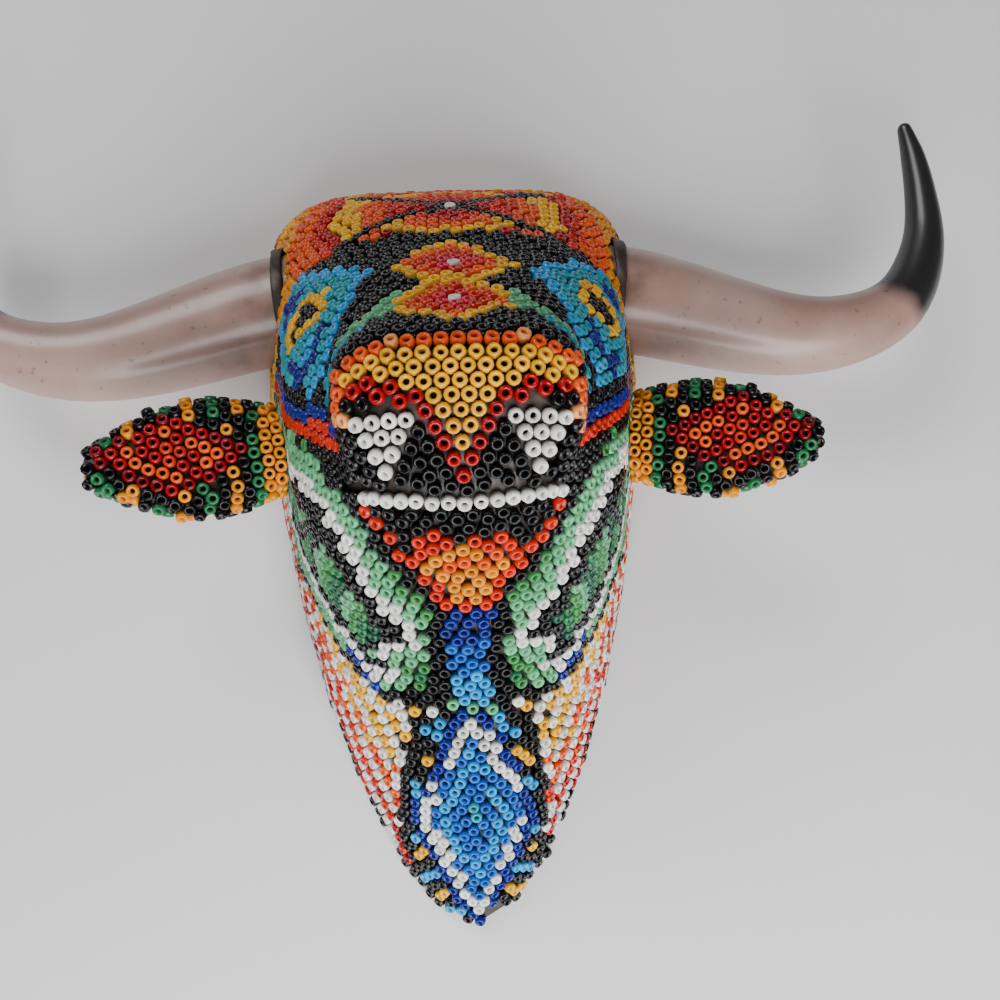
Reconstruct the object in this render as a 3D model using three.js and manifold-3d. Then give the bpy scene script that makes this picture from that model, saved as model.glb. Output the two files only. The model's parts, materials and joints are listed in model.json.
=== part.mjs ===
// A small beaded bull's head that hangs on a wall: a carved wooden head with a flat back, two carved
// horns and two ears on dowels, a thin coat of beeswax over the wood, and fields of glass seed beads
// pressed into the wax. A ring hanger sits in a pocket in the back.
//
// Millimetres. +Z is up and -Y is forward, out of the wall. The flat back lies in the plane y = 0,
// and the origin is on that face, on the midline.
import * as THREE from "three";
import { mergeVertices } from "three/addons/utils/BufferGeometryUtils.js";
import Module from "manifold-3d";

const wasm = await Module();
wasm.setup();

// ---- Driving dimensions ----
const HEAD_HEIGHT = 136; // the wooden head, from the tip of the bib to the top of the poll
const HEAD_DEPTH = 70.5; // the wooden head, from the back face to the nose
const HEAD_WIDTH = 70; // the wooden head, across the back face
const ORIGIN_SHARE = 0.496; // how far up the back face the origin lies

const GAP = 0.15; // between one layer and the next
const WAX_THICKNESS = 0.5; // the coat of beeswax
const BEAD_HEIGHT = 1.5; // a seed bead standing in the wax with its hole outwards
const FIELD_GAP = 0.3; // between one field of beads and its neighbour
const FIT = 0.3; // round anything seated in the wood

const HORN_BASE_RADIUS = 10.5;
const HORN_SPAN = 66; // from the horn's foot to its widest reach
const COLLAR_WIDTH = 0.5; // the ring of black wax round the foot of a horn
const COLLAR_HEIGHT = 2;
const COLLAR_START = 0.105; // of the span, from the horn's foot
const HORN_DOWEL_RADIUS = 3;
const HORN_DOWEL_DEPTH = 9; // the length of the dowel in the wood, and in the horn

const EAR_LENGTH = 31;
const EAR_HALF_HEIGHT = 8.4;
const EAR_HALF_THICKNESS = 2.9;
const EAR_DISH = 1.9; // how deep the front of the ear is hollowed
const EAR_DISH_START = 0.2; // the hollow begins this far along, past the dowel
const EAR_DOWEL_RADIUS = 1.4;
const EAR_DOWEL_DEPTH = 5.5;
const EAR_SEAT_GAP = 0.4; // between the ear and the beads of the head

const POCKET_WIDTH = 15;
const POCKET_HEIGHT = 27;
const POCKET_DEPTH = 3.6;
const POCKET_CENTRE = 24; // above the origin
const STRAP_WIDTH = 7;
const STRAP_LENGTH = 9.5;
const STRAP_THICKNESS = 0.8;
const WIRE_RADIUS = 0.7;
const RING_HALF_WIDTH = 5; // from the middle to the centre of the wire
const RING_LENGTH = 9; // from the bar to the crown
const KNUCKLE_CLEARANCE = 0.08;
const KNUCKLE_WALL = 0.6;
const SCREW_HEAD_RADIUS = 1.9;
const SCREW_HEAD_HEIGHT = 0.9;
const SCREW_SHANK_RADIUS = 0.9;
const SCREW_LENGTH = 9;
const SCREW_BELOW_KNUCKLE = 5.4;

// ---- How finely the surfaces are divided ----
const AROUND = 30;
const ALONG = 22;
const ROUND = 14; // sides of a horn
const HORN_STEPS = 16;
const SMALL_ROUND = 12; // sides of a dowel, a wire or a screw

// ---- The carved head as a loft ----
// Each station is an upright section, drawn in millimetres on a head of the DRAWN size and kept as
// shares of it, so the head stretches with its driving dimensions. depth runs from the back face to
// the nose; top, widest and bottom are heights above the tip of the bib; half is the half-width.
// upper and lower are the exponents of the section's superellipse, 2 being an ellipse and less than 2
// a point.
const DRAWN = { depth: 70.5, height: 136, half: 35 };
const station = (depth, top, widest, bottom, half, upper, lower) => ({
  depth: depth / DRAWN.depth,
  top: top / DRAWN.height,
  widest: widest / DRAWN.height,
  bottom: bottom / DRAWN.height,
  half: half / DRAWN.half,
  upper,
  lower,
});
const STATIONS = [
  station(0, 134.5, 105.5, 0, 35, 9, 1.65),
  station(8, 136, 105.5, 10.2, 34, 7.2, 1.7),
  station(16, 136, 104.5, 21, 31.8, 5, 1.75),
  station(30, 126.3, 97.5, 41.5, 28, 2.8, 2),
  station(42, 113.6, 92.5, 53, 25.4, 2.4, 2.2),
  station(50, 106.2, 88.5, 59.5, 21.2, 2.4, 2.2),
  station(57, 99.2, 85.5, 65.2, 16.8, 2.7, 2.3),
  station(63, 93.8, 83, 71, 15.5, 2.9, 2.4),
  station(67, 90.6, 83, 75.4, 14.6, 2.9, 2.4),
  station(69.3, 88.3, 83.5, 79, 11.1, 2.8, 2.4),
  station(70.3, 86.5, 83.8, 81.5, 6.9, 2.6, 2.4),
];
const CAP = { depth: 1, height: 84 / DRAWN.height }; // the middle of the muzzle

const clampIndex = (i, n) => Math.max(0, Math.min(n - 1, i));

// A smooth value through a list at a fractional index, by a Catmull-Rom curve.
function smooth(list, at) {
  const i = Math.min(Math.floor(at), list.length - 2);
  const t = at - i;
  const [a, b, c, d] = [-1, 0, 1, 2].map((step) => list[clampIndex(i + step, list.length)]);
  return (
    0.5 * (2 * b + (c - a) * t + (2 * a - 5 * b + 4 * c - d) * t * t + (3 * b - a - 3 * c + d) * t * t * t)
  );
}

const power = (x, exponent) => Math.sign(x) * Math.abs(x) ** exponent;
const zOf = (share) => (share - ORIGIN_SHARE) * HEAD_HEIGHT;
const yOf = (share) => -share * HEAD_DEPTH;

// A point on the wood. turn is the angle from the top of the head, positive towards +X; along runs
// from 0 at the back face to 1 at the middle of the muzzle.
function wood(turn, along) {
  const last = STATIONS.length - 1;
  const at = along * STATIONS.length;
  const read = (name) => smooth(STATIONS.map((one) => one[name]), Math.min(at, last));
  const keep = 1 - Math.max(0, at - last); // past the last station the skin closes on the cap
  const up = Math.cos(turn);
  const exponent = 2 / read(up >= 0 ? "upper" : "lower");
  const reach = Math.abs(up) ** exponent;
  const widest = read("widest");
  const height = widest + (read(up >= 0 ? "top" : "bottom") - widest) * reach;
  const x = power(Math.sin(turn), exponent) * read("half") * (HEAD_WIDTH / 2);
  return new THREE.Vector3(
    x * keep,
    yOf(read("depth") * keep + CAP.depth * (1 - keep)),
    zOf(height * keep + CAP.height * (1 - keep)),
  );
}

// The outward normal of the wood. At the back edge it lies in the back plane.
function normalAt(turn, along) {
  const step = 1e-3;
  const capAlong = Math.min(along, 1 - 2 * step);
  const across = wood(turn + step, capAlong).sub(wood(turn - step, capAlong));
  const forward = wood(turn, capAlong + step).sub(wood(turn, Math.max(0, capAlong - step)));
  const normal = forward.cross(across).normalize();
  if (along < 1e-6) normal.setY(0).normalize();
  return normal;
}

function capNormal() {
  const sum = new THREE.Vector3();
  for (let j = 0; j < AROUND; j++) sum.add(normalAt((j / AROUND) * 2 * Math.PI, 0.97));
  return sum.setX(0).normalize();
}
const CAP_NORMAL = capNormal();

// A point off the wood, given in grid steps.
function skin(j, k, lift) {
  const [turn, along] = [(j / AROUND) * 2 * Math.PI, k / ALONG];
  if (along > 1 - 1e-9) return wood(0, 1).addScaledVector(CAP_NORMAL, lift);
  return wood(turn, along).addScaledVector(normalAt(turn, along), lift);
}

// ---- Meshes from points ----
function geometryOf(points, triangles) {
  const geometry = new THREE.BufferGeometry();
  const places = points.flatMap((p) => [p.x, p.y, p.z]);
  geometry.setAttribute("position", new THREE.Float32BufferAttribute(places, 3));
  geometry.setIndex(triangles.flat());
  return geometry;
}

const quad = (a, b, c, d) => [
  [a, b, c],
  [a, c, d],
];

// A closed slab between two grids of points with the same layout, given as functions of row and
// column. The outer grid faces out when its columns run anticlockwise seen from outside.
function slab(rows, columns, outer, inner) {
  const points = [];
  const triangles = [];
  for (const grid of [outer, inner])
    for (let r = 0; r <= rows; r++) for (let c = 0; c <= columns; c++) points.push(grid(r, c));
  const at = (layer, r, c) => layer * (rows + 1) * (columns + 1) + r * (columns + 1) + c;
  for (let r = 0; r < rows; r++)
    for (let c = 0; c < columns; c++) {
      triangles.push(...quad(at(0, r, c), at(0, r + 1, c), at(0, r + 1, c + 1), at(0, r, c + 1)));
      triangles.push(...quad(at(1, r, c), at(1, r, c + 1), at(1, r + 1, c + 1), at(1, r + 1, c)));
    }
  const wall = (a, b) => triangles.push(...quad(at(0, ...a), at(0, ...b), at(1, ...b), at(1, ...a)));
  for (let c = 0; c < columns; c++) {
    wall([0, c], [0, c + 1]);
    wall([rows, c + 1], [rows, c]);
  }
  for (let r = 0; r < rows; r++) {
    wall([r + 1, 0], [r, 0]);
    wall([r, columns], [r + 1, columns]);
  }
  return geometryOf(points, triangles);
}

// A tube of changing radius along a path of points. A closed path makes a ring; an open one gets ends.
function tube(path, radii, sides, closed = false) {
  const points = [];
  const triangles = [];
  const n = path.length;
  let side = new THREE.Vector3(0, 1, 0);
  path.forEach((centre, i) => {
    const before = path[closed ? (i + n - 1) % n : Math.max(0, i - 1)];
    const after = path[closed ? (i + 1) % n : Math.min(n - 1, i + 1)];
    const ahead = after.clone().sub(before).normalize();
    side = side.clone().addScaledVector(ahead, -side.dot(ahead)).normalize();
    const other = ahead.clone().cross(side);
    for (let s = 0; s < sides; s++) {
      const angle = (s / sides) * 2 * Math.PI;
      points.push(
        centre
          .clone()
          .addScaledVector(side, Math.cos(angle) * radii[i])
          .addScaledVector(other, Math.sin(angle) * radii[i]),
      );
    }
  });
  const at = (i, s) => (i % n) * sides + (s % sides);
  for (let i = 0; i < (closed ? n : n - 1); i++)
    for (let s = 0; s < sides; s++)
      triangles.push(...quad(at(i, s), at(i, s + 1), at(i + 1, s + 1), at(i + 1, s)));
  if (!closed) {
    const [first, last] = [points.length, points.length + 1];
    points.push(path[0].clone(), path[n - 1].clone());
    for (let s = 0; s < sides; s++) {
      triangles.push([first, at(0, s + 1), at(0, s)]);
      triangles.push([last, at(n - 1, s), at(n - 1, s + 1)]);
    }
  }
  return geometryOf(points, triangles);
}

// ---- Solids and booleans ----
function solidOf(geometry) {
  const bare = geometry.clone();
  for (const name of ["normal", "uv"]) if (bare.getAttribute(name)) bare.deleteAttribute(name);
  const merged = mergeVertices(bare, 1e-4);
  return new wasm.Manifold(
    new wasm.Mesh({
      numProp: 3,
      vertProperties: new Float32Array(merged.attributes.position.array),
      triVerts: new Uint32Array(merged.index.array),
    }),
  );
}

function geometryFrom(solid) {
  const mesh = solid.getMesh();
  const geometry = new THREE.BufferGeometry();
  const points = [];
  for (let i = 0; i < mesh.numVert; i++)
    points.push(...mesh.vertProperties.subarray(i * mesh.numProp, i * mesh.numProp + 3));
  geometry.setAttribute("position", new THREE.Float32BufferAttribute(points, 3));
  geometry.setIndex([...mesh.triVerts]);
  return geometry;
}

// A geometry less some cutters.
const cut = (geometry, ...cutters) =>
  geometryFrom(cutters.reduce((solid, cutter) => solid.subtract(solidOf(cutter)), solidOf(geometry)));

// A cylinder from one point to another.
function rod(from, to, radius, sides = SMALL_ROUND) {
  const ahead = to.clone().sub(from);
  const geometry = new THREE.CylinderGeometry(radius, radius, ahead.length(), sides);
  const upright = new THREE.Vector3(0, 1, 0);
  const turn = new THREE.Quaternion().setFromUnitVectors(upright, ahead.clone().normalize());
  geometry.applyQuaternion(turn);
  const middle = from.clone().addScaledVector(ahead, 0.5);
  return geometry.translate(middle.x, middle.y, middle.z);
}

// The radius at which a faceted hole still clears a round piece of the given radius.
const holeRadius = (radius, clearance) => (radius + clearance) / Math.cos(Math.PI / SMALL_ROUND);

// ---- Materials ----
const material = (color, roughness, metalness = 0) =>
  new THREE.MeshStandardMaterial({ color, roughness, metalness });
const WOOD = material(0xc49a6c, 0.8);
const WAX = material(0x2a2019, 0.6);
const HORN = material(0xb99d92, 0.45);
const STEEL = material(0x9a9a9c, 0.35, 0.9);
const BRASS = material(0xb08d45, 0.35, 0.9);
const BEADS = {
  black: material(0x141214, 0.25),
  fire: material(0xf2a20c, 0.3),
  blue: material(0x1f9ec4, 0.3),
  green: material(0x6fae84, 0.3),
  cobalt: material(0x1d3fa8, 0.3),
  stripe: material(0xeadfce, 0.3),
  red: material(0xd8261c, 0.3),
};

const head = new THREE.Group();
function add(name, geometry, finish) {
  const mesh = new THREE.Mesh(geometry, finish);
  mesh.name = name;
  head.add(mesh);
  return mesh;
}

// ---- Places on the head ----
const WAX_BOTTOM = GAP;
const WAX_TOP = WAX_BOTTOM + WAX_THICKNESS;
const BEAD_BOTTOM = WAX_TOP + GAP;
const BEAD_TOP = BEAD_BOTTOM + BEAD_HEIGHT;
const SIDES = [
  ["left", -1],
  ["right", 1],
];

// The horn's centreline from its foot, on the side where x is above 0, and its thickness along it, as
// shares of the span and of the radius at the foot.
const HORN_FOOT = new THREE.Vector3(HEAD_WIDTH * 0.336, yOf(0.2), zOf(0.856));
const HORN_ROUTE = [
  [0, 0, 0],
  [0.159, 0, -0.015],
  [0.386, -0.01, -0.085],
  [0.682, -0.03, -0.162],
  [0.947, -0.05, -0.095],
  [1.053, -0.055, 0.094],
  [1.068, -0.055, 0.242],
  [1.058, -0.06, 0.388],
  [1.038, -0.07, 0.47],
].map((share) => new THREE.Vector3(...share).multiplyScalar(HORN_SPAN));
const HORN_THICKNESS = [1, 1, 0.92, 0.745, 0.585, 0.4, 0.3, 0.225, 0.135];
const EAR_FOOT = { turn: 0.287 * 2 * Math.PI, along: 3 / STATIONS.length };

const mirrored = (point, side) => new THREE.Vector3(point.x * side, point.y, point.z);

function hornCurve(side) {
  return new THREE.CatmullRomCurve3(HORN_ROUTE.map((p) => mirrored(p.clone().add(HORN_FOOT), side)));
}

const hornRadius = (t) => HORN_BASE_RADIUS * smooth(HORN_THICKNESS, t * (HORN_THICKNESS.length - 1));

// A horn from its foot to its rounded tip, or the room for one when it is grown by a clearance.
function hornGeometry(side, grown = 0) {
  const curve = hornCurve(side);
  const [path, radii] = [[], []];
  for (let i = 0; i <= HORN_STEPS; i++) {
    path.push(curve.getPoint(i / HORN_STEPS));
    radii.push(hornRadius(i / HORN_STEPS) + grown);
  }
  const [tip, ahead] = [curve.getPoint(1), curve.getTangent(1)];
  for (const angle of [0.5, 1.1]) {
    path.push(tip.clone().addScaledVector(ahead, hornRadius(1) * Math.sin(angle)));
    radii.push(hornRadius(1) * Math.cos(angle) + grown);
  }
  return tube(path, radii, ROUND);
}

// A straight frame at the foot of a horn: where the seat is, and the way out.
function hornFrame(side) {
  const curve = hornCurve(side);
  return { foot: curve.getPoint(0), out: curve.getTangent(0) };
}

function hornParts(label, side) {
  const { foot, out } = hornFrame(side);
  const along = (distance) => foot.clone().addScaledVector(out, distance);
  const bore = rod(along(-FIT), along(HORN_DOWEL_DEPTH + FIT), holeRadius(HORN_DOWEL_RADIUS, FIT));
  add(`horn_${label}`, cut(hornGeometry(side), bore), HORN);
  const dowel = rod(along(-HORN_DOWEL_DEPTH), along(HORN_DOWEL_DEPTH), HORN_DOWEL_RADIUS);
  add(`horn_dowel_${label}`, dowel, WOOD);
}

// What the horn takes out of the wood: its flat seat, room for its bend and for the collar, and the
// dowel's bore.
function hornCutters(side) {
  const { foot, out } = hornFrame(side);
  const along = (distance) => foot.clone().addScaledVector(out, distance);
  const seat = rod(along(-FIT), along(HORN_SEAT_REACH), hornClear(0), 2 * SMALL_ROUND);
  const bore = rod(along(-HORN_DOWEL_DEPTH - FIT), along(0), holeRadius(HORN_DOWEL_RADIUS, FIT));
  const collarSeat = HORN_SPAN * COLLAR_START - FIT;
  const room = rod(along(collarSeat), along(HORN_SEAT_REACH), hornClear(COLLAR_WIDTH + FIT), 2 * SMALL_ROUND);
  return [seat, hornGeometry(side, FIT), room, bore];
}
const HORN_SEAT_REACH = 30; // past the bead fields, so the seat is open to the outside
const hornClear = (extra) => (HORN_BASE_RADIUS + FIT + extra) / Math.cos(Math.PI / (2 * SMALL_ROUND));

// What the horn and its collar take out of the wax and the beads.
function collarCutter(side) {
  const { foot, out } = hornFrame(side);
  const along = (distance) => foot.clone().addScaledVector(out, distance);
  return rod(along(-FIT), along(HORN_SEAT_REACH), hornClear(COLLAR_WIDTH + FIT), 2 * SMALL_ROUND);
}

// The ring of black wax that closes the gap between the horn and the beads.
function collar(label, side) {
  const { foot, out } = hornFrame(side);
  const along = (distance) => foot.clone().addScaledVector(out, distance);
  const start = HORN_SPAN * COLLAR_START;
  const outer = rod(along(start), along(start + COLLAR_HEIGHT), hornClear(COLLAR_WIDTH), 2 * SMALL_ROUND);
  const inner = rod(along(start - 1), along(start + COLLAR_HEIGHT + 1), hornClear(0), 2 * SMALL_ROUND);
  add(`horn_wax_collar_${label}`, cut(outer, inner, hornGeometry(side, FIT)), WAX);
}

// ---- The wooden head ----
function woodSolid() {
  const points = [];
  const triangles = [];
  for (let k = 0; k < ALONG; k++) for (let j = 0; j < AROUND; j++) points.push(skin(j, k, 0));
  const at = (k, j) => k * AROUND + (j % AROUND);
  for (let k = 0; k < ALONG - 1; k++)
    for (let j = 0; j < AROUND; j++)
      triangles.push(...quad(at(k, j), at(k + 1, j), at(k + 1, j + 1), at(k, j + 1)));
  const [nose, back] = [points.length, points.length + 1];
  points.push(skin(0, ALONG, 0), new THREE.Vector3(0, 0, zOf(STATIONS[0].widest)));
  for (let j = 0; j < AROUND; j++) {
    triangles.push([nose, at(ALONG - 1, j + 1), at(ALONG - 1, j)]);
    triangles.push([back, at(0, j), at(0, j + 1)]);
  }
  return geometryOf(points, triangles);
}

// The pocket for the hanger, cut into the back face.
function pocketCutter() {
  const over = 1;
  return new THREE.BoxGeometry(POCKET_WIDTH, POCKET_DEPTH + over, POCKET_HEIGHT).translate(
    0,
    (over - POCKET_DEPTH) / 2,
    POCKET_CENTRE,
  );
}

// ---- The wax coat: one thin shell over the whole head ----
function waxCoat() {
  const points = [];
  const triangles = [];
  for (const lift of [WAX_TOP, WAX_BOTTOM])
    for (let k = 0; k < ALONG; k++) for (let j = 0; j < AROUND; j++) points.push(skin(j, k, lift));
  const at = (layer, k, j) => layer * ALONG * AROUND + k * AROUND + (j % AROUND);
  for (let k = 0; k < ALONG - 1; k++)
    for (let j = 0; j < AROUND; j++) {
      triangles.push(...quad(at(0, k, j), at(0, k + 1, j), at(0, k + 1, j + 1), at(0, k, j + 1)));
      triangles.push(...quad(at(1, k, j), at(1, k, j + 1), at(1, k + 1, j + 1), at(1, k + 1, j)));
    }
  const [outerNose, innerNose] = [points.length, points.length + 1];
  points.push(skin(0, ALONG, WAX_TOP), skin(0, ALONG, WAX_BOTTOM));
  for (let j = 0; j < AROUND; j++) {
    triangles.push([outerNose, at(0, ALONG - 1, j + 1), at(0, ALONG - 1, j)]);
    triangles.push([innerNose, at(1, ALONG - 1, j), at(1, ALONG - 1, j + 1)]);
    triangles.push(...quad(at(0, 0, j), at(0, 0, j + 1), at(1, 0, j + 1), at(1, 0, j)));
  }
  return geometryOf(points, triangles);
}

// ---- Bead fields ----
// A field covers the grid from column j0 to j1 and from row k0 to k1. Its edges step back by half of
// the gap between fields, except at the back face.
function fieldGeometry([j0, j1], [k0, k1]) {
  const rows = k1 - k0;
  const columns = j1 - j0;
  const place = (r, c) => {
    const [j, k] = [j0 + c, k0 + r];
    const aside = c === 0 ? 1 : c === columns ? -1 : 0;
    const ahead = r === 0 && k0 > 0 ? 1 : r === rows ? -1 : 0;
    const across = skin(j + 0.5, k, 0).distanceTo(skin(j - 0.5, k, 0));
    const along = skin(j, Math.min(k + 0.5, ALONG), 0).distanceTo(skin(j, Math.max(k - 0.5, 0), 0));
    return [j + (aside * FIELD_GAP) / 2 / across, k + (ahead * FIELD_GAP) / 2 / along];
  };
  const lifted = (lift) => (r, c) => skin(...place(r, c), lift);
  return slab(rows, columns, lifted(BEAD_TOP), lifted(BEAD_BOTTOM));
}

// The round field that covers the muzzle, from row k0 to the middle.
function muzzleGeometry(k0) {
  const points = [];
  const triangles = [];
  const rows = ALONG - k0;
  for (const lift of [BEAD_TOP, BEAD_BOTTOM])
    for (let r = 0; r < rows; r++)
      for (let j = 0; j < AROUND; j++) {
        const along = skin(j, k0 + 0.5, 0).distanceTo(skin(j, k0 - 0.5, 0));
        points.push(skin(j, k0 + r + (r === 0 ? FIELD_GAP / 2 / along : 0), lift));
      }
  const at = (layer, r, j) => layer * rows * AROUND + r * AROUND + (j % AROUND);
  const [outerNose, innerNose] = [points.length, points.length + 1];
  points.push(skin(0, ALONG, BEAD_TOP), skin(0, ALONG, BEAD_BOTTOM));
  for (let j = 0; j < AROUND; j++) {
    for (let r = 0; r < rows - 1; r++) {
      triangles.push(...quad(at(0, r, j), at(0, r + 1, j), at(0, r + 1, j + 1), at(0, r, j + 1)));
      triangles.push(...quad(at(1, r, j), at(1, r, j + 1), at(1, r + 1, j + 1), at(1, r + 1, j)));
    }
    triangles.push([outerNose, at(0, rows - 1, j + 1), at(0, rows - 1, j)]);
    triangles.push([innerNose, at(1, rows - 1, j), at(1, rows - 1, j + 1)]);
    triangles.push(...quad(at(0, 0, j), at(0, 0, j + 1), at(1, 0, j + 1), at(1, 0, j)));
  }
  return geometryOf(points, triangles);
}

// Where one field ends and the next begins, in grid steps.
const TOP_EDGE = 3; // the fields on top reach this far to each side
const EYE_EDGE = 9;
const CHIN_EDGE = 11;
const BIB_EDGE = 13;
const NECK_ROW = 6;
const BIB_ROW = 6;
const POLL_ROW = 8;
const SNOUT_ROW = 12;
const MUZZLE_ROW = 16;

function beadFields() {
  const bothWays = ([j0, j1], side) => (side > 0 ? [j0, j1] : [-j1, -j0]);
  add("poll_beads", fieldGeometry([-TOP_EDGE, TOP_EDGE], [0, POLL_ROW]), BEADS.fire);
  add("forehead_beads", fieldGeometry([-TOP_EDGE, TOP_EDGE], [POLL_ROW, SNOUT_ROW]), BEADS.fire);
  add("nose_band_beads", fieldGeometry([-CHIN_EDGE, CHIN_EDGE], [SNOUT_ROW, MUZZLE_ROW]), BEADS.black);
  add("chin_beads", fieldGeometry([CHIN_EDGE, AROUND - CHIN_EDGE], [SNOUT_ROW, MUZZLE_ROW]), BEADS.red);
  add("muzzle_beads", muzzleGeometry(MUZZLE_ROW), BEADS.black);
  add("throat_beads", fieldGeometry([BIB_EDGE, AROUND - BIB_EDGE], [BIB_ROW, SNOUT_ROW]), BEADS.cobalt);
  add("bib_beads", fieldGeometry([BIB_EDGE, AROUND - BIB_EDGE], [0, BIB_ROW]), BEADS.blue);
  for (const [label, side] of SIDES) {
    const [horn, ear] = [collarCutter(side), earCutter(side)];
    const crown = fieldGeometry(bothWays([TOP_EDGE, EYE_EDGE], side), [0, NECK_ROW]);
    const neck = fieldGeometry(bothWays([EYE_EDGE, BIB_EDGE], side), [0, NECK_ROW]);
    const eye = fieldGeometry(bothWays([TOP_EDGE, EYE_EDGE], side), [NECK_ROW, SNOUT_ROW]);
    const cheek = fieldGeometry(bothWays([EYE_EDGE, BIB_EDGE], side), [NECK_ROW, SNOUT_ROW]);
    add(`horn_band_beads_${label}`, cut(crown, horn, ear), BEADS.fire);
    add(`neck_stripe_beads_${label}`, cut(neck, ear), BEADS.stripe);
    add(`eye_patch_beads_${label}`, cut(eye, ear), BEADS.blue);
    add(`cheek_beads_${label}`, cut(cheek, ear), BEADS.green);
  }
}

// ---- Ears ----
// How high the ear is at a share of its length, as a share of its greatest half-height.
const EAR_WIDEST = 0.42; // of its length
function earOutline(u) {
  const swelling = 0.34 * Math.sin(Math.min(1, u / EAR_WIDEST) * (Math.PI / 2));
  const taper = 0.86 * Math.max(0, (u - EAR_WIDEST) / (1 - EAR_WIDEST)) ** 1.9;
  return 0.66 + swelling - taper;
}

// A point off the ear's wood in the ear's own frame: x out along the ear, y to its back, z up.
function earPoint(u, angle, lift) {
  const half = EAR_HALF_HEIGHT * earOutline(u);
  const thick = EAR_HALF_THICKNESS * (0.45 + 0.55 * earOutline(u));
  const front = Math.max(0, -Math.sin(angle));
  const hollow = Math.max(0, (u - EAR_DISH_START) / (1 - EAR_DISH_START));
  const dish = EAR_DISH * front ** 2 * Math.sin(Math.PI * hollow) * earOutline(u);
  const [up, out] = [Math.cos(angle), Math.sin(angle)];
  const length = Math.hypot(up / half, out / thick);
  const [normalUp, normalOut] = [up / half / length, out / thick / length];
  return new THREE.Vector3(
    u * EAR_LENGTH,
    out * thick + normalOut * lift + dish,
    up * half + normalUp * lift,
  );
}

// The frame of an ear on the head: its foot on the beads, and the way it points.
function earFrame(side) {
  const lift = BEAD_TOP + EAR_SEAT_GAP;
  const out = normalAt(EAR_FOOT.turn, EAR_FOOT.along);
  const foot = wood(EAR_FOOT.turn, EAR_FOOT.along).addScaledVector(out, lift);
  const back = new THREE.Vector3(0, 1, 0).addScaledVector(out, -out.y).normalize();
  const up = out.clone().cross(back);
  const matrix = new THREE.Matrix4().makeBasis(out, back, up).setPosition(foot);
  return side > 0 ? matrix : new THREE.Matrix4().makeScale(-1, 1, 1).multiply(matrix);
}

// A geometry made in the ear's frame, placed on its side of the head with its faces still outwards.
function onEar(geometry, side) {
  geometry.applyMatrix4(earFrame(side));
  if (side < 0) {
    const index = geometry.index.array;
    for (let i = 0; i < index.length; i += 3) [index[i + 1], index[i + 2]] = [index[i + 2], index[i + 1]];
  }
  return geometry;
}

const EAR_STEPS = 8;
const EAR_ROUND = 12;
const EAR_START = 0.02; // the bead fields begin this far along the ear

function earWood() {
  const points = [];
  const triangles = [];
  for (let i = 0; i <= EAR_STEPS; i++)
    for (let a = 0; a < EAR_ROUND; a++) {
      points.push(earPoint(i / EAR_STEPS, (a / EAR_ROUND) * 2 * Math.PI, 0));
    }
  const at = (i, a) => i * EAR_ROUND + (a % EAR_ROUND);
  for (let i = 0; i < EAR_STEPS; i++)
    for (let a = 0; a < EAR_ROUND; a++)
      triangles.push(...quad(at(i, a), at(i + 1, a), at(i + 1, a + 1), at(i, a + 1)));
  const [foot, tip] = [points.length, points.length + 1];
  points.push(new THREE.Vector3(0, 0, 0), new THREE.Vector3(EAR_LENGTH, 0, 0));
  for (let a = 0; a < EAR_ROUND; a++) {
    triangles.push([foot, at(0, a), at(0, a + 1)]);
    triangles.push([tip, at(EAR_STEPS, a + 1), at(EAR_STEPS, a)]);
  }
  return geometryOf(points, triangles);
}

// One side of the ear's beads with its wax, as a shell from rim to rim.
function earField(front) {
  const rim = 0.075;
  const [from, to] = front ? [rim - Math.PI, -rim] : [rim, Math.PI - rim];
  const columns = EAR_ROUND / 2;
  const place = (lift) => (r, c) =>
    earPoint(EAR_START + (1 - EAR_START) * (r / EAR_STEPS), from + ((to - from) * c) / columns, lift);
  return slab(EAR_STEPS, columns, place(BEAD_TOP), place(BEAD_BOTTOM));
}

// The wax on an ear: a thin sleeve, open at the foot and the tip.
function earWax() {
  const points = [];
  const triangles = [];
  for (const lift of [WAX_TOP, WAX_BOTTOM]) {
    for (let i = 0; i <= EAR_STEPS; i++) {
      const along = EAR_START + (1 - EAR_START) * (i / EAR_STEPS);
      for (let a = 0; a < EAR_ROUND; a++) {
        points.push(earPoint(along, (a / EAR_ROUND) * 2 * Math.PI, lift));
      }
    }
  }
  const at = (layer, i, a) => (layer * (EAR_STEPS + 1) + i) * EAR_ROUND + (a % EAR_ROUND);
  for (let a = 0; a < EAR_ROUND; a++) {
    for (let i = 0; i < EAR_STEPS; i++) {
      triangles.push(...quad(at(0, i, a), at(0, i + 1, a), at(0, i + 1, a + 1), at(0, i, a + 1)));
      triangles.push(...quad(at(1, i, a), at(1, i, a + 1), at(1, i + 1, a + 1), at(1, i + 1, a)));
    }
    triangles.push(...quad(at(0, 0, a), at(0, 0, a + 1), at(1, 0, a + 1), at(1, 0, a)));
    const tip = (layer, step) => at(layer, EAR_STEPS, step);
    triangles.push(...quad(tip(0, a + 1), tip(0, a), tip(1, a), tip(1, a + 1)));
  }
  return geometryOf(points, triangles);
}

const earDowel = (radius, from, to) => (
  rod(new THREE.Vector3(from, 0, 0), new THREE.Vector3(to, 0, 0), radius)
);
// How far the ear's foot stands from the wood of the head.
const EAR_STAND = BEAD_TOP + EAR_SEAT_GAP;

// What an ear's dowel takes out of the head.
const earCutter = (side) =>
  onEar(earDowel(holeRadius(EAR_DOWEL_RADIUS, FIT), -EAR_STAND - EAR_DOWEL_DEPTH, 1), side);

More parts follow.
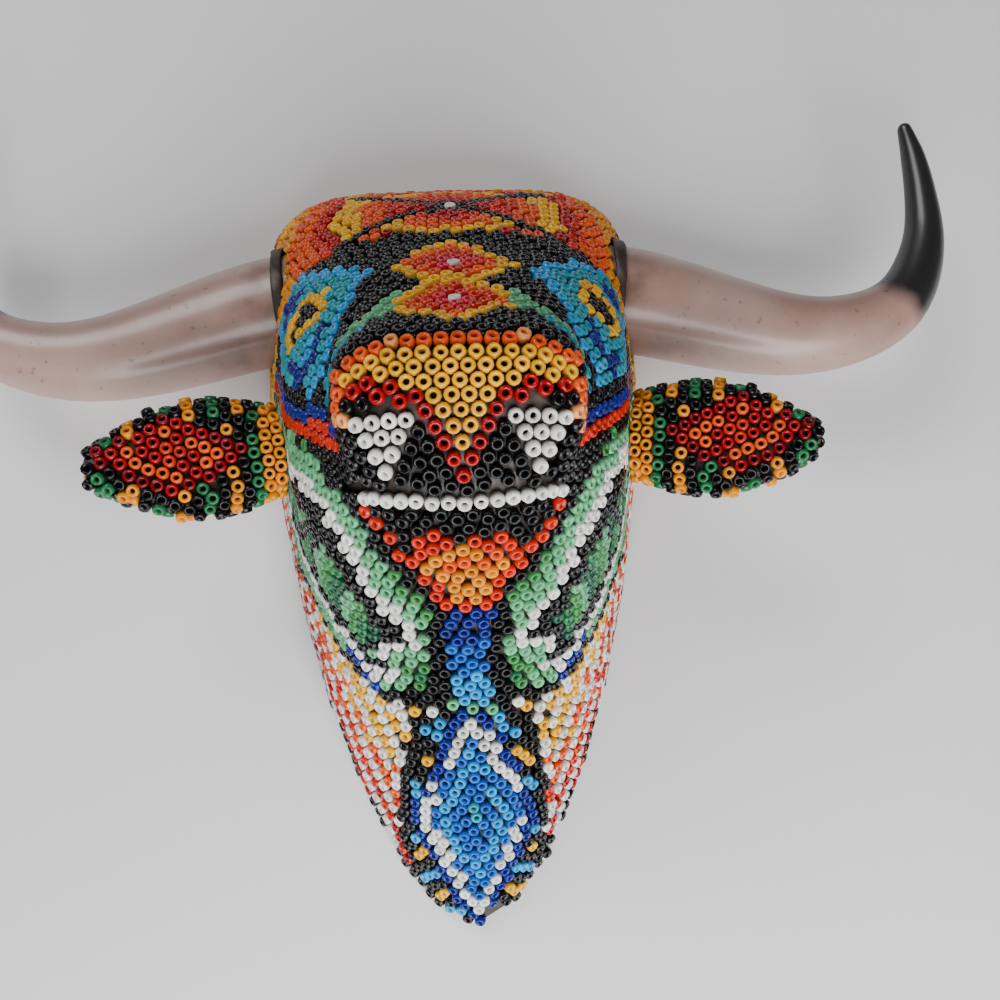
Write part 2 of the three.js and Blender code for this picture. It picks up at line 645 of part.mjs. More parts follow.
function earParts(label, side) {
  const bore = earDowel(holeRadius(EAR_DOWEL_RADIUS, FIT), -1, EAR_DOWEL_DEPTH + FIT);
  add(`ear_${label}`, onEar(cut(earWood(), bore), side), WOOD);
  const dowel = earDowel(EAR_DOWEL_RADIUS, FIT - EAR_STAND - EAR_DOWEL_DEPTH, EAR_DOWEL_DEPTH);
  add(`ear_dowel_${label}`, onEar(dowel, side), WOOD);
  add(`ear_wax_${label}`, onEar(earWax(), side), WAX);
  add(`ear_front_beads_${label}`, onEar(earField(true), side), BEADS.red);
  add(`ear_back_beads_${label}`, onEar(earField(false), side), BEADS.black);
}

// ---- The ring hanger in its pocket ----
const FLOOR = -POCKET_DEPTH + FIT; // the face of the wood that the strap lies on
const KNUCKLE_BORE = holeRadius(WIRE_RADIUS, KNUCKLE_CLEARANCE);
const KNUCKLE_RADIUS = KNUCKLE_BORE + KNUCKLE_WALL;
const BAR = new THREE.Vector3(0, FLOOR + KNUCKLE_RADIUS, POCKET_CENTRE + 0.5); // the ring's hinge axis

const lateral = (x) => new THREE.Vector3(x, BAR.y, BAR.z);

function screwHole(radius) {
  const z = BAR.z - SCREW_BELOW_KNUCKLE;
  const from = new THREE.Vector3(0, FLOOR - SCREW_LENGTH, z);
  return rod(from, new THREE.Vector3(0, 1, z), holeRadius(radius, FIT / 2));
}

function hanger() {
  const plate = new THREE.BoxGeometry(STRAP_WIDTH, STRAP_THICKNESS, STRAP_LENGTH).translate(
    0,
    FLOOR + STRAP_THICKNESS / 2,
    BAR.z - STRAP_LENGTH / 2,
  );
  const knuckle = rod(lateral(-STRAP_WIDTH / 2), lateral(STRAP_WIDTH / 2), KNUCKLE_RADIUS);
  const bore = rod(lateral(-STRAP_WIDTH), lateral(STRAP_WIDTH), KNUCKLE_BORE);
  const strap = solidOf(plate).add(solidOf(knuckle)).subtract(solidOf(bore));
  add("hanger_strap", geometryFrom(strap.subtract(solidOf(screwHole(SCREW_SHANK_RADIUS)))), STEEL);

  // The ring: a straight bar through the knuckle, closed by a half-round bow.
  const straight = [-1, -0.4, 0.4].map((share) => lateral(share * RING_HALF_WIDTH));
  const bow = [];
  const steps = 14;
  for (let i = 0; i < steps; i++) {
    const angle = (i / steps) * Math.PI;
    bow.push(
      new THREE.Vector3(
        RING_HALF_WIDTH * Math.cos(angle),
        BAR.y,
        BAR.z + RING_LENGTH * Math.sin(angle) ** 0.8,
      ),
    );
  }
  const path = [...straight, ...bow];
  add("hanger_ring", tube(path, path.map(() => WIRE_RADIUS), 8, true), STEEL);

  const z = BAR.z - SCREW_BELOW_KNUCKLE;
  const face = FLOOR + STRAP_THICKNESS + FIT / 2;
  const screw = [
    [0, face - SCREW_LENGTH],
    [SCREW_SHANK_RADIUS, face - SCREW_LENGTH + 2],
    [SCREW_SHANK_RADIUS, face],
    [SCREW_HEAD_RADIUS, face],
    [SCREW_HEAD_RADIUS * 0.8, face + SCREW_HEAD_HEIGHT * 0.7],
    [0, face + SCREW_HEAD_HEIGHT],
  ].map(([r, y]) => new THREE.Vector2(r, y));
  add("hanger_screw", new THREE.LatheGeometry(screw, SMALL_ROUND).translate(0, 0, z), BRASS);
}

// ---- The whole head ----
const woodCutters = SIDES.flatMap(([, side]) => [...hornCutters(side), earCutter(side)]);
add("head_core", cut(woodSolid(), ...woodCutters, pocketCutter(), screwHole(SCREW_SHANK_RADIUS)), WOOD);
const coatCutters = SIDES.flatMap(([, side]) => [collarCutter(side), earCutter(side)]);
add("wax_coat", cut(waxCoat(), ...coatCutters), WAX);
beadFields();
for (const [label, side] of SIDES) {
  hornParts(label, side);
  collar(label, side);
  earParts(label, side);
}
hanger();

export default head;
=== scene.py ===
"""A small beaded bull's head, dressed over its solid model.

The wood, the wax coat, the ears' wood and the dowels keep their solid shapes. Each bead field is laid here
bead by bead on the face of its solid field, and the horns, the horns' wax collars and the hanger are smoothed
or bevelled copies of theirs. Lengths are in metres in the model's own frame: +Z is up and the nose points to
-Y.
"""
import json
import logging
import math
from dataclasses import dataclass, field
from enum import Enum
from typing import Callable, Dict, List, Sequence, Tuple

import bpy
import numpy as np
from mathutils import Matrix, Vector
from mathutils.bvhtree import BVHTree

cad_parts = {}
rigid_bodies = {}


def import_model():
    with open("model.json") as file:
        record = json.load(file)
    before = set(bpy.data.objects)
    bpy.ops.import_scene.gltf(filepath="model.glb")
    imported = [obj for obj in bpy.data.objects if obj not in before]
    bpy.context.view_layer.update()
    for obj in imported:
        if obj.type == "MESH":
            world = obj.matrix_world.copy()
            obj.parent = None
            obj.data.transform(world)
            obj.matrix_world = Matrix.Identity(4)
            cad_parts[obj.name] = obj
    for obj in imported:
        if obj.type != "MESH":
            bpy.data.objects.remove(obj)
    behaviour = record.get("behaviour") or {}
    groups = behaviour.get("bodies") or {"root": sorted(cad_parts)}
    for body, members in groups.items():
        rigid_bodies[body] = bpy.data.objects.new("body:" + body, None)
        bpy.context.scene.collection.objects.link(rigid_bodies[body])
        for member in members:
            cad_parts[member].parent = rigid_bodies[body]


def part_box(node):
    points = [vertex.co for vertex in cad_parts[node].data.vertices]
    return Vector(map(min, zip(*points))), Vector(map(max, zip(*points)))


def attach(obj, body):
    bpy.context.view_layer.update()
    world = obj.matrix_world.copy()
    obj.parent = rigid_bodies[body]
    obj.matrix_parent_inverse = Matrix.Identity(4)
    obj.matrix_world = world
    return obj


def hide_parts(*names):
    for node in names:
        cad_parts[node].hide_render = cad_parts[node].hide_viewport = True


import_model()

logging.basicConfig(level=logging.INFO, format="%(levelname)s %(message)s")
log = logging.getLogger("bull_head")

MM = 0.001
SEED = 11
SIDES: Dict[str, int] = {"left": -1, "right": 1}
Rgb = Tuple[float, float, float]


# ---------------------------------------------------------------- colours


class Glass(Enum):
    """The colours that the seed beads come in, as linear RGB."""

    BLACK = (0.0025, 0.0025, 0.0035)
    WHITE = (0.76, 0.75, 0.72)
    YELLOW = (0.80, 0.40, 0.0)
    OCHRE = (0.70, 0.24, 0.0)
    ORANGE = (0.72, 0.075, 0.0)
    FIRE = (0.56, 0.014, 0.0)
    RED = (0.34, 0.001, 0.003)
    CRIMSON = (0.20, 0.002, 0.006)
    MAGENTA = (0.58, 0.008, 0.030)
    PEACH = (0.84, 0.30, 0.08)
    SKY = (0.012, 0.28, 0.60)
    TURQUOISE = (0.008, 0.26, 0.34)
    BLUE = (0.002, 0.09, 0.42)
    COBALT = (0.002, 0.012, 0.19)
    MINT = (0.11, 0.40, 0.19)
    LEAF = (0.040, 0.22, 0.055)
    GREEN = (0.014, 0.14, 0.050)
    FOREST = (0.005, 0.075, 0.038)


# ---------------------------------------------------------------- small tools


def forget_selection() -> None:
    """Leave edit mode and deselect everything."""
    if bpy.context.mode != "OBJECT":
        bpy.ops.object.mode_set(mode="OBJECT")
    bpy.ops.object.select_all(action="DESELECT")


def make_active(piece: bpy.types.Object) -> None:
    """Select one piece alone and make it the active one."""
    forget_selection()
    piece.select_set(True)
    bpy.context.view_layer.objects.active = piece


def apply_modifiers(piece: bpy.types.Object) -> None:
    """Apply every modifier of a piece, in order."""
    make_active(piece)
    for modifier in list(piece.modifiers):
        bpy.ops.object.modifier_apply(modifier=modifier.name)


def triangles_of(node: str) -> Tuple[np.ndarray, np.ndarray]:
    """Read a solid's vertices and triangles.

    Args:
        node: The name of the solid.

    Returns:
        Vertices as an (n, 3) array in metres, and triangles as an (m, 3) array of indices.
    """
    mesh = bpy.data.objects[node].data
    mesh.calc_loop_triangles()
    points = np.empty(len(mesh.vertices) * 3)
    mesh.vertices.foreach_get("co", points)
    triangles = np.empty(len(mesh.loop_triangles) * 3, dtype=np.int64)
    mesh.loop_triangles.foreach_get("vertices", triangles)
    return points.reshape(-1, 3), triangles.reshape(-1, 3)


def tree_of(node: str) -> BVHTree:
    """Make a search tree of a solid's faces."""
    points, triangles = triangles_of(node)
    return BVHTree.FromPolygons(points.tolist(), triangles.tolist())


# ---------------------------------------------------------------- finishes


class Nodes:
    """A short way to write a node material."""

    def __init__(self, name: str) -> None:
        """Start a material that holds only its shader and its output."""
        self.material = bpy.data.materials.new(name)
        self.material.use_nodes = True
        self.tree = self.material.node_tree
        self.shader = self.tree.nodes["Principled BSDF"]

    def node(self, kind: str, **settings: object) -> bpy.types.Node:
        """Add a node and set its options."""
        made = self.tree.nodes.new(kind)
        for key, value in settings.items():
            setattr(made, key, value)
        return made

    def join(self, source: bpy.types.NodeSocket, target: bpy.types.NodeSocket) -> None:
        """Link one socket to another."""
        self.tree.links.new(source, target)

    def object_coordinates(self) -> bpy.types.NodeSocket:
        """Give the object coordinates."""
        return self.node("ShaderNodeTexCoord").outputs["Object"]

    def noise(
        self, scale: float, detail: float = 3.0, where: bpy.types.NodeSocket = None
    ) -> bpy.types.NodeSocket:
        """Add noise over the object coordinates.

        Args:
            scale: Cells to the metre.
            detail: Octaves of finer noise.
            where: Coordinates to use in place of the object's.

        Returns:
            The noise value, about 0.5 on average.
        """
        made = self.node("ShaderNodeTexNoise")
        made.inputs["Scale"].default_value = scale
        made.inputs["Detail"].default_value = detail
        self.join(where or self.object_coordinates(), made.inputs["Vector"])
        return made.outputs["Fac"]

    def ramp(self, value: bpy.types.NodeSocket, stops: Sequence[Tuple[float, Rgb]]) -> bpy.types.NodeSocket:
        """Turn a value into a colour by a ramp."""
        made = self.node("ShaderNodeValToRGB")
        elements = made.color_ramp.elements
        while len(elements) < len(stops):
            elements.new(0.5)
        for element, (at, colour) in zip(elements, stops):
            element.position = at
            element.color = (*colour, 1.0)
        self.join(value, made.inputs["Fac"])
        return made.outputs["Color"]

    def mix(
        self, share: bpy.types.NodeSocket, first: object, second: object, blend: str = "MIX"
    ) -> bpy.types.NodeSocket:
        """Mix two colours, each a socket or a plain colour, by a share or a fixed amount."""
        made = self.node("ShaderNodeMix", data_type="RGBA", blend_type=blend)
        for socket, value in ((made.inputs[0], share), (made.inputs[6], first), (made.inputs[7], second)):
            if isinstance(value, bpy.types.NodeSocket):
                self.join(value, socket)
            elif isinstance(value, (int, float)):
                socket.default_value = value
            else:
                socket.default_value = (*value, 1.0)
        return made.outputs[2]

    def bump(self, height: bpy.types.NodeSocket, strength: float, distance: float) -> None:
        """Raise the surface by a height value."""
        made = self.node("ShaderNodeBump")
        made.inputs["Strength"].default_value = strength
        made.inputs["Distance"].default_value = distance
        self.join(height, made.inputs["Height"])
        self.join(made.outputs["Normal"], self.shader.inputs["Normal"])

    def settings(self, **values: float) -> None:
        """Set the shader's own plain inputs, with underscores for spaces in their names."""
        for key, value in values.items():
            self.shader.inputs[key.replace("_", " ")].default_value = value


@dataclass(frozen=True)
class BeadGlass:
    """Opaque glass whose colour each bead carries with it."""

    roughness: float = 0.2
    tint: str = "tint"

    def make(self) -> bpy.types.Material:
        """Make the material."""
        nodes = Nodes("bead_glass")
        colour = nodes.node("ShaderNodeAttribute", attribute_name=self.tint).outputs["Color"]
        dust = nodes.ramp(nodes.noise(420.0, 4.0), [(0.35, (0.86, 0.86, 0.86)), (0.7, (1.0, 1.0, 1.0))])
        nodes.join(nodes.mix(1.0, colour, dust, "MULTIPLY"), nodes.shader.inputs["Base Color"])
        wear = nodes.node("ShaderNodeMapRange")
        wear.inputs["To Min"].default_value = self.roughness - 0.06
        wear.inputs["To Max"].default_value = self.roughness + 0.1
        nodes.join(nodes.noise(900.0, 2.0), wear.inputs["Value"])
        nodes.join(wear.outputs["Result"], nodes.shader.inputs["Roughness"])
        nodes.settings(IOR=1.5, Coat_Weight=0.0, Specular_IOR_Level=0.28)
        return nodes.material


@dataclass(frozen=True)
class Beeswax:
    """Dark wax spread by thumb."""

    dark: Rgb = (0.012, 0.008, 0.006)
    light: Rgb = (0.045, 0.028, 0.018)

    def make(self) -> bpy.types.Material:
        """Make the material."""
        nodes = Nodes("beeswax")
        grain = nodes.noise(260.0, 5.0)
        shade = nodes.ramp(grain, [(0.35, self.dark), (0.7, self.light)])
        nodes.join(shade, nodes.shader.inputs["Base Color"])
        nodes.bump(grain, 0.5, 0.0004)
        nodes.settings(Roughness=0.5, Subsurface_Weight=0.0)
        return nodes.material


@dataclass(frozen=True)
class CarvedWood:
    """Pale softwood with long grain along one axis."""

    name: str = "carved_wood"
    dark: Rgb = (0.30, 0.165, 0.075)
    light: Rgb = (0.56, 0.36, 0.19)
    stretch: Tuple[float, float, float] = (260.0, 260.0, 26.0)

    def make(self) -> bpy.types.Material:
        """Make the material."""
        nodes = Nodes(self.name)
        mapping = nodes.node("ShaderNodeMapping")
        mapping.inputs["Scale"].default_value = self.stretch
        nodes.join(nodes.object_coordinates(), mapping.inputs["Vector"])
        grain = nodes.noise(1.0, 6.0, mapping.outputs["Vector"])
        shade = nodes.ramp(grain, [(0.3, self.dark), (0.68, self.light)])
        nodes.join(shade, nodes.shader.inputs["Base Color"])
        nodes.bump(grain, 0.35, 0.0003)
        nodes.settings(Roughness=0.72)
        return nodes.material


@dataclass(frozen=True)
class LacqueredHorn:
    """Carved horn: pinkish grey, stained in the pores, and black from the bend to the tip."""

    along: str = "along"
    pale: Rgb = (0.38, 0.255, 0.215)
    rose: Rgb = (0.27, 0.155, 0.125)
    stain: Rgb = (0.13, 0.07, 0.05)
    black: Rgb = (0.010, 0.009, 0.009)

    def make(self) -> bpy.types.Material:
        """Make the material."""
        nodes = Nodes("lacquered_horn")
        along = nodes.node("ShaderNodeAttribute", attribute_name=self.along).outputs["Fac"]
        clouds = nodes.noise(34.0, 5.0)
        skin = nodes.ramp(clouds, [(0.34, self.rose), (0.62, self.pale)])
        foot = nodes.ramp(along, [(0.0, (1.0, 1.0, 1.0)), (0.1, (0.35, 0.35, 0.35)), (0.24, (0.0, 0.0, 0.0))])
        blotch = nodes.ramp(nodes.noise(120.0, 6.0), [(0.45, (0.0, 0.0, 0.0)), (0.66, (1.0, 1.0, 1.0))])
        near_foot = nodes.mix(1.0, foot, blotch, "MULTIPLY")
        skin = nodes.mix(near_foot, skin, self.stain)
        specks = nodes.ramp(nodes.noise(700.0, 2.0), [(0.66, (0.0, 0.0, 0.0)), (0.74, (0.55, 0.55, 0.55))])
        skin = nodes.mix(specks, skin, self.stain)
        ragged = nodes.node("ShaderNodeMath", operation="MULTIPLY_ADD")
        ragged.inputs[1].default_value = 0.10
        nodes.join(nodes.noise(95.0, 5.0), ragged.inputs[0])
        nodes.join(along, ragged.inputs[2])
        tip = nodes.ramp(ragged.outputs[0], [(0.59, (0.0, 0.0, 0.0)), (0.65, (1.0, 1.0, 1.0))])
        nodes.join(nodes.mix(tip, skin, self.black), nodes.shader.inputs["Base Color"])
        nodes.bump(nodes.noise(210.0, 4.0), 0.12, 0.0006)
        nodes.settings(Roughness=0.38, Coat_Weight=0.25, Coat_Roughness=0.2)
        return nodes.material


@dataclass(frozen=True)
class PlatedMetal:
    """Plain metal with fine wear."""

    name: str
    colour: Rgb
    roughness: float = 0.32

    def make(self) -> bpy.types.Material:
        """Make the material."""
        nodes = Nodes(self.name)
        dim = tuple(0.7 * part for part in self.colour)
        wear = nodes.ramp(nodes.noise(500.0), [(0.3, dim), (0.7, self.colour)])
        nodes.join(wear, nodes.shader.inputs["Base Color"])
        nodes.settings(Metallic=1.0, Roughness=self.roughness)
        return nodes.material


# ---------------------------------------------------------------- laying beads


@dataclass(frozen=True)
class BeadShape:
    """One seed bead: a short glass ring with a rounded wall, its hole along +Z."""

    radius: float = 1.1 * MM
    hole: float = 0.40 * MM
    height: float = 1.5 * MM
    sides: int = 10
    wall_sides: int = 6

    def model(self) -> Tuple[np.ndarray, np.ndarray]:
        """Model the bead once.

        Returns:
            Its vertices as an (n, 3) array and its four-cornered faces as an (m, 4) array.
        """
        forget_selection()
        wall = (self.radius - self.hole) / 2
        bpy.ops.mesh.primitive_torus_add(
            major_segments=self.sides,
            minor_segments=self.wall_sides,
            major_radius=self.hole + wall,
            minor_radius=wall,
        )
        bead = bpy.context.object
        bpy.ops.object.mode_set(mode="EDIT")
        bpy.ops.mesh.select_all(action="SELECT")
        stretch = self.height / (2 * wall * math.sin(math.pi / 3))
        bpy.ops.transform.resize(value=(1.0, 1.0, stretch), center_override=(0.0, 0.0, 0.0))
        bpy.ops.object.mode_set(mode="OBJECT")
        points = np.array([vertex.co[:] for vertex in bead.data.vertices])
        faces = np.array([polygon.vertices[:] for polygon in bead.data.polygons])
        bpy.data.objects.remove(bead, do_unlink=True)
        return points, faces


@dataclass
class Seats:
    """Where beads sit: points on the outer face, outward normals and the field that each lies in."""

    points: np.ndarray
    normals: np.ndarray
    fields: np.ndarray


@dataclass(frozen=True)
class Marked:
    """A bead whose place and colour are marked on the wax first, in metres seen from the front."""

    x: float
    z: float
    colour: Glass

    def miss(self, points: np.ndarray) -> np.ndarray:
        """Give how far each point is from the mark, seen from the front."""
        return np.hypot(points[:, 0] - self.x, points[:, 2] - self.z)


@dataclass
class BeadLayer:
    """Lays beads side by side over some solid fields, as a hand does: each next to those already down."""

    fields: Sequence[str]
    centre: Vector
    pitch: float = 2.2 * MM
    grain: float = 0.17 * MM
    thickness: Tuple[float, float] = (1.1 * MM, 2.0 * MM)

    def outer_faces(self, node: str) -> Tuple[np.ndarray, np.ndarray]:
        """Find the outer faces of a field.

        Args:
            node: The field's name.

        Returns:
            The corners of its outer triangles, (m, 3, 3), and their normals, (m, 3).
        """
        points, triangles = triangles_of(node)
        corners = points[triangles]
        normals = np.cross(corners[:, 1] - corners[:, 0], corners[:, 2] - corners[:, 0])
        size = np.linalg.norm(normals, axis=1)
        normals = normals / np.maximum(size, 1e-15)[:, None]
        tree = tree_of(node)
        keep = []
        for corner, normal, area in zip(corners, normals, size):
            middle = Vector(corner.mean(axis=0))
            inward = Vector(-normal)
            hit = tree.ray_cast(middle + inward * 0.00005, inward)
            outward = (middle - self.centre).dot(Vector(normal)) > 0
            thin = hit[0] is not None and self.thickness[0] < hit[3] < self.thickness[1]
            keep.append(area > 1e-12 and outward and thin)
        return corners[keep], normals[keep]

    def candidates(self) -> Seats:
        """Spread closely spaced points over the outer faces of every field."""
        points, normals, fields = [], [], []
        for index, node in enumerate(self.fields):
            for (a, b, c), normal in zip(*self.outer_faces(node)):
                longest = max(np.linalg.norm(b - a), np.linalg.norm(c - b), np.linalg.norm(a - c))
                steps = max(1, math.ceil(longest / self.grain))
                i, j = np.meshgrid(np.arange(steps + 1), np.arange(steps + 1))
                inside = (i + j) <= steps
                i, j = i[inside][:, None] / steps, j[inside][:, None] / steps
                points.append(a + (b - a) * i + (c - a) * j)
                normals.append(np.repeat(normal[None, :], len(i), axis=0))
                fields.append(np.full(len(i), index))
        return Seats(np.concatenate(points), np.concatenate(normals), np.concatenate(fields))

    def lay(
        self,
        order: Callable[[np.ndarray], np.ndarray],
        keep: Callable[[np.ndarray], np.ndarray],
        first: Sequence["Marked"] = (),
    ) -> Seats:
        """Lay the beads.

        Args:
            order: Gives the order in which places are tried, as indices into the points.
            keep: Says which points may hold a bead.
            first: Beads that are set before any other, each at the free point nearest to its mark.

        Returns:
            The seats taken, with normals smoothed over their neighbours.
        """
        spread = self.candidates()
        allowed = keep(spread.points)
        points, normals, fields = spread.points[allowed], spread.normals[allowed], spread.fields[allowed]
        cells: Dict[Tuple[int, int, int], List[int]] = {}
        for index, cell in enumerate(map(tuple, np.floor(points / self.pitch).astype(int).tolist())):
            cells.setdefault(cell, []).append(index)
        packed = {cell: np.array(members) for cell, members in cells.items()}
        free = np.ones(len(points), dtype=bool)
        taken: List[int] = []
        smooth: List[np.ndarray] = []
        around = [(i, j, k) for i in (-1, 0, 1) for j in (-1, 0, 1) for k in (-1, 0, 1)]
        front = np.flatnonzero(points[:, 1] < points[:, 1].min() * 0.5)
        marks = [front[np.argmin(mark.miss(points[front]))] for mark in first]
        for index in [*marks, *order(points).tolist()]:
            if not free[index] and len(taken) >= len(marks):
                continue
            x, y, z = (int(math.floor(value / self.pitch)) for value in points[index])
            near = [packed[key] for i, j, k in around if (key := (x + i, y + j, z + k)) in packed]
            members = np.concatenate(near)
            away = np.linalg.norm(points[members] - points[index], axis=1)
            free[members[away < self.pitch]] = False
            mean = (normals[members] * np.maximum(0.0, 1.0 - away / (1.6 * self.pitch))[:, None]).sum(axis=0)
            taken.append(index)
            smooth.append(mean / np.linalg.norm(mean))
        log.info("%d beads over %d fields", len(taken), len(self.fields))
        return Seats(points[taken], np.array(smooth), fields[taken])


@dataclass
class BeadWriter:
    """Copies the one bead onto its seats, one piece to a field."""

    shape: BeadShape
    glass: bpy.types.Material
    rng: np.random.Generator
    size_spread: float = 0.022
    tilt: float = 0.05
    sink: float = 0.06 * MM
    tone_spread: float = 0.09
    _model: Tuple[np.ndarray, np.ndarray] = field(init=False)

    def __post_init__(self) -> None:
        """Model the bead."""
        self._model = self.shape.model()

    def frames(self, normals: np.ndarray) -> np.ndarray:
        """Turn each bead so that its hole looks outwards, with a small tilt."""
        count = len(normals)
        up = normals + self.rng.normal(0.0, self.tilt, (count, 3))
        up /= np.linalg.norm(up, axis=1)[:, None]
        side = np.cross(up, self.rng.normal(0.0, 1.0, (count, 3)))
        side /= np.linalg.norm(side, axis=1)[:, None]
        return np.stack([side, np.cross(up, side), up], axis=2)

    def write(self, name: str, seats: Seats, colours: Sequence[Glass]) -> bpy.types.Object:
        """Write one field's beads.

        Args:
            name: The piece's name.
            seats: The seats of this field alone.
            colours: One colour for each seat.

        Returns:
            The piece.
        """
        model, faces = self._model
        count = len(seats.points)
        size = 1.0 + self.rng.normal(0.0, self.size_spread, (count, 3))
        size[:, 1] = size[:, 0]
        frames = self.frames(seats.normals) * size[:, None, :]
        depth = self.shape.height / 2 + np.abs(self.rng.normal(0.0, self.sink, count))
        places = seats.points - seats.normals * depth[:, None]
        points = np.einsum("nij,vj->nvi", frames, model) + places[:, None, :]
        corners = faces[None, :, :] + (np.arange(count) * len(model))[:, None, None]
        mesh = bpy.data.meshes.new(name)
        mesh.vertices.add(count * len(model))
        mesh.vertices.foreach_set("co", points.reshape(-1))
        mesh.loops.add(corners.size)
        mesh.loops.foreach_set("vertex_index", corners.reshape(-1).astype(np.int32))
        mesh.polygons.add(count * len(faces))
        mesh.polygons.foreach_set("loop_start", np.arange(0, corners.size, 4, dtype=np.int32))
        mesh.polygons.foreach_set("use_smooth", np.ones(count * len(faces), dtype=bool))
        mesh.update(calc_edges=True)
        tone = 1.0 + self.rng.normal(0.0, self.tone_spread, (count, 1))
        tint = np.clip(np.array([colour.value for colour in colours]) * tone, 0.0, 0.95)
        tint = np.concatenate([tint, np.ones((count, 1))], axis=1)
        layer = mesh.attributes.new("tint", "FLOAT_COLOR", "POINT")
        layer.data.foreach_set("color", np.repeat(tint, len(model), axis=0).reshape(-1))
        mesh.materials.append(self.glass)
        piece = bpy.data.objects.new(name, mesh)
        bpy.context.scene.collection.objects.link(piece)
        return piece


# ---------------------------------------------------------------- patterns


@dataclass(frozen=True)
class Spot:
    """A bead's place in millimetres: across, forward of the back face, and up from the tip of the bib."""

    x: float
    d: float
    z: float


@dataclass(frozen=True)
class HeadMap:
    """Turns places on the head into the coordinates that its patterns are drawn in."""

    nose_depth: float = 72.0
    nose_height: float = 91.0
    eye_roll: float = 26.0
    band_depth: float = 35.0
    band_height: float = 92.6
    band_slope: float = -0.54

    def up_face(self, spot: Spot) -> float:
        """Give the distance up the forehead from the top of the muzzle."""
        return ((self.nose_depth - spot.d) + (spot.z - self.nose_height)) * math.sqrt(0.5)

    def off_middle(self, spot: Spot) -> float:
        """Give the distance from the middle, over the brow and down the side."""
        drop = ((spot.d - self.nose_depth) + (spot.z - self.nose_height)) * math.sqrt(0.5)
        return self.eye_roll * math.atan2(abs(spot.x), self.eye_roll + drop)

    def over_band(self, spot: Spot) -> float:
        """Give the height over the line of bands that parts the eye patches from the cheeks."""
        return spot.z - (self.band_height + self.band_slope * (spot.d - self.band_depth))


def stepped(value: float, steps: Sequence[Tuple[float, Glass]], last: Glass) -> Glass:
    """Pick the first colour whose limit is over the value, or the last one."""
    for limit, colour in steps:
        if value < limit:
            return colour
    return last


@dataclass(frozen=True)
class Outline:
    """A closed outline drawn on one cheek, in millimetres: across, and up from the tip of the bib."""

    corners: Sequence[Tuple[float, float]]

    def inside(self, x: float, z: float) -> float:
        """Give how far a place is inside the line, below 0 outside it."""
        within, nearest = False, 1e9
        for (ax, az), (bx, bz) in zip(self.corners, [*self.corners[1:], self.corners[0]]):
            if (az > z) != (bz > z) and x < (bx - ax) * (z - az) / (bz - az) + ax:
                within = not within
            share = ((x - ax) * (bx - ax) + (z - az) * (bz - az)) / ((bx - ax) ** 2 + (bz - az) ** 2)
            share = min(1.0, max(0.0, share))
            nearest = min(nearest, math.hypot(x - ax - share * (bx - ax), z - az - share * (bz - az)))
        return nearest if within else -nearest


LEAF_CORNERS = (
    (7.4, 51.6),
    (12.4, 51.0),
    (12.6, 46.8),
    (19.0, 47.8),
    (23.0, 52.4),
    (27.5, 58.5),
    (34.0, 66.0),
    (40.0, 75.0),
    (43.0, 93.0),
    (33.0, 93.0),
    (26.5, 82.0),
    (20.4, 74.0),
    (16.2, 66.0),
    (13.4, 60.3),
    (9.2, 56.0),
)


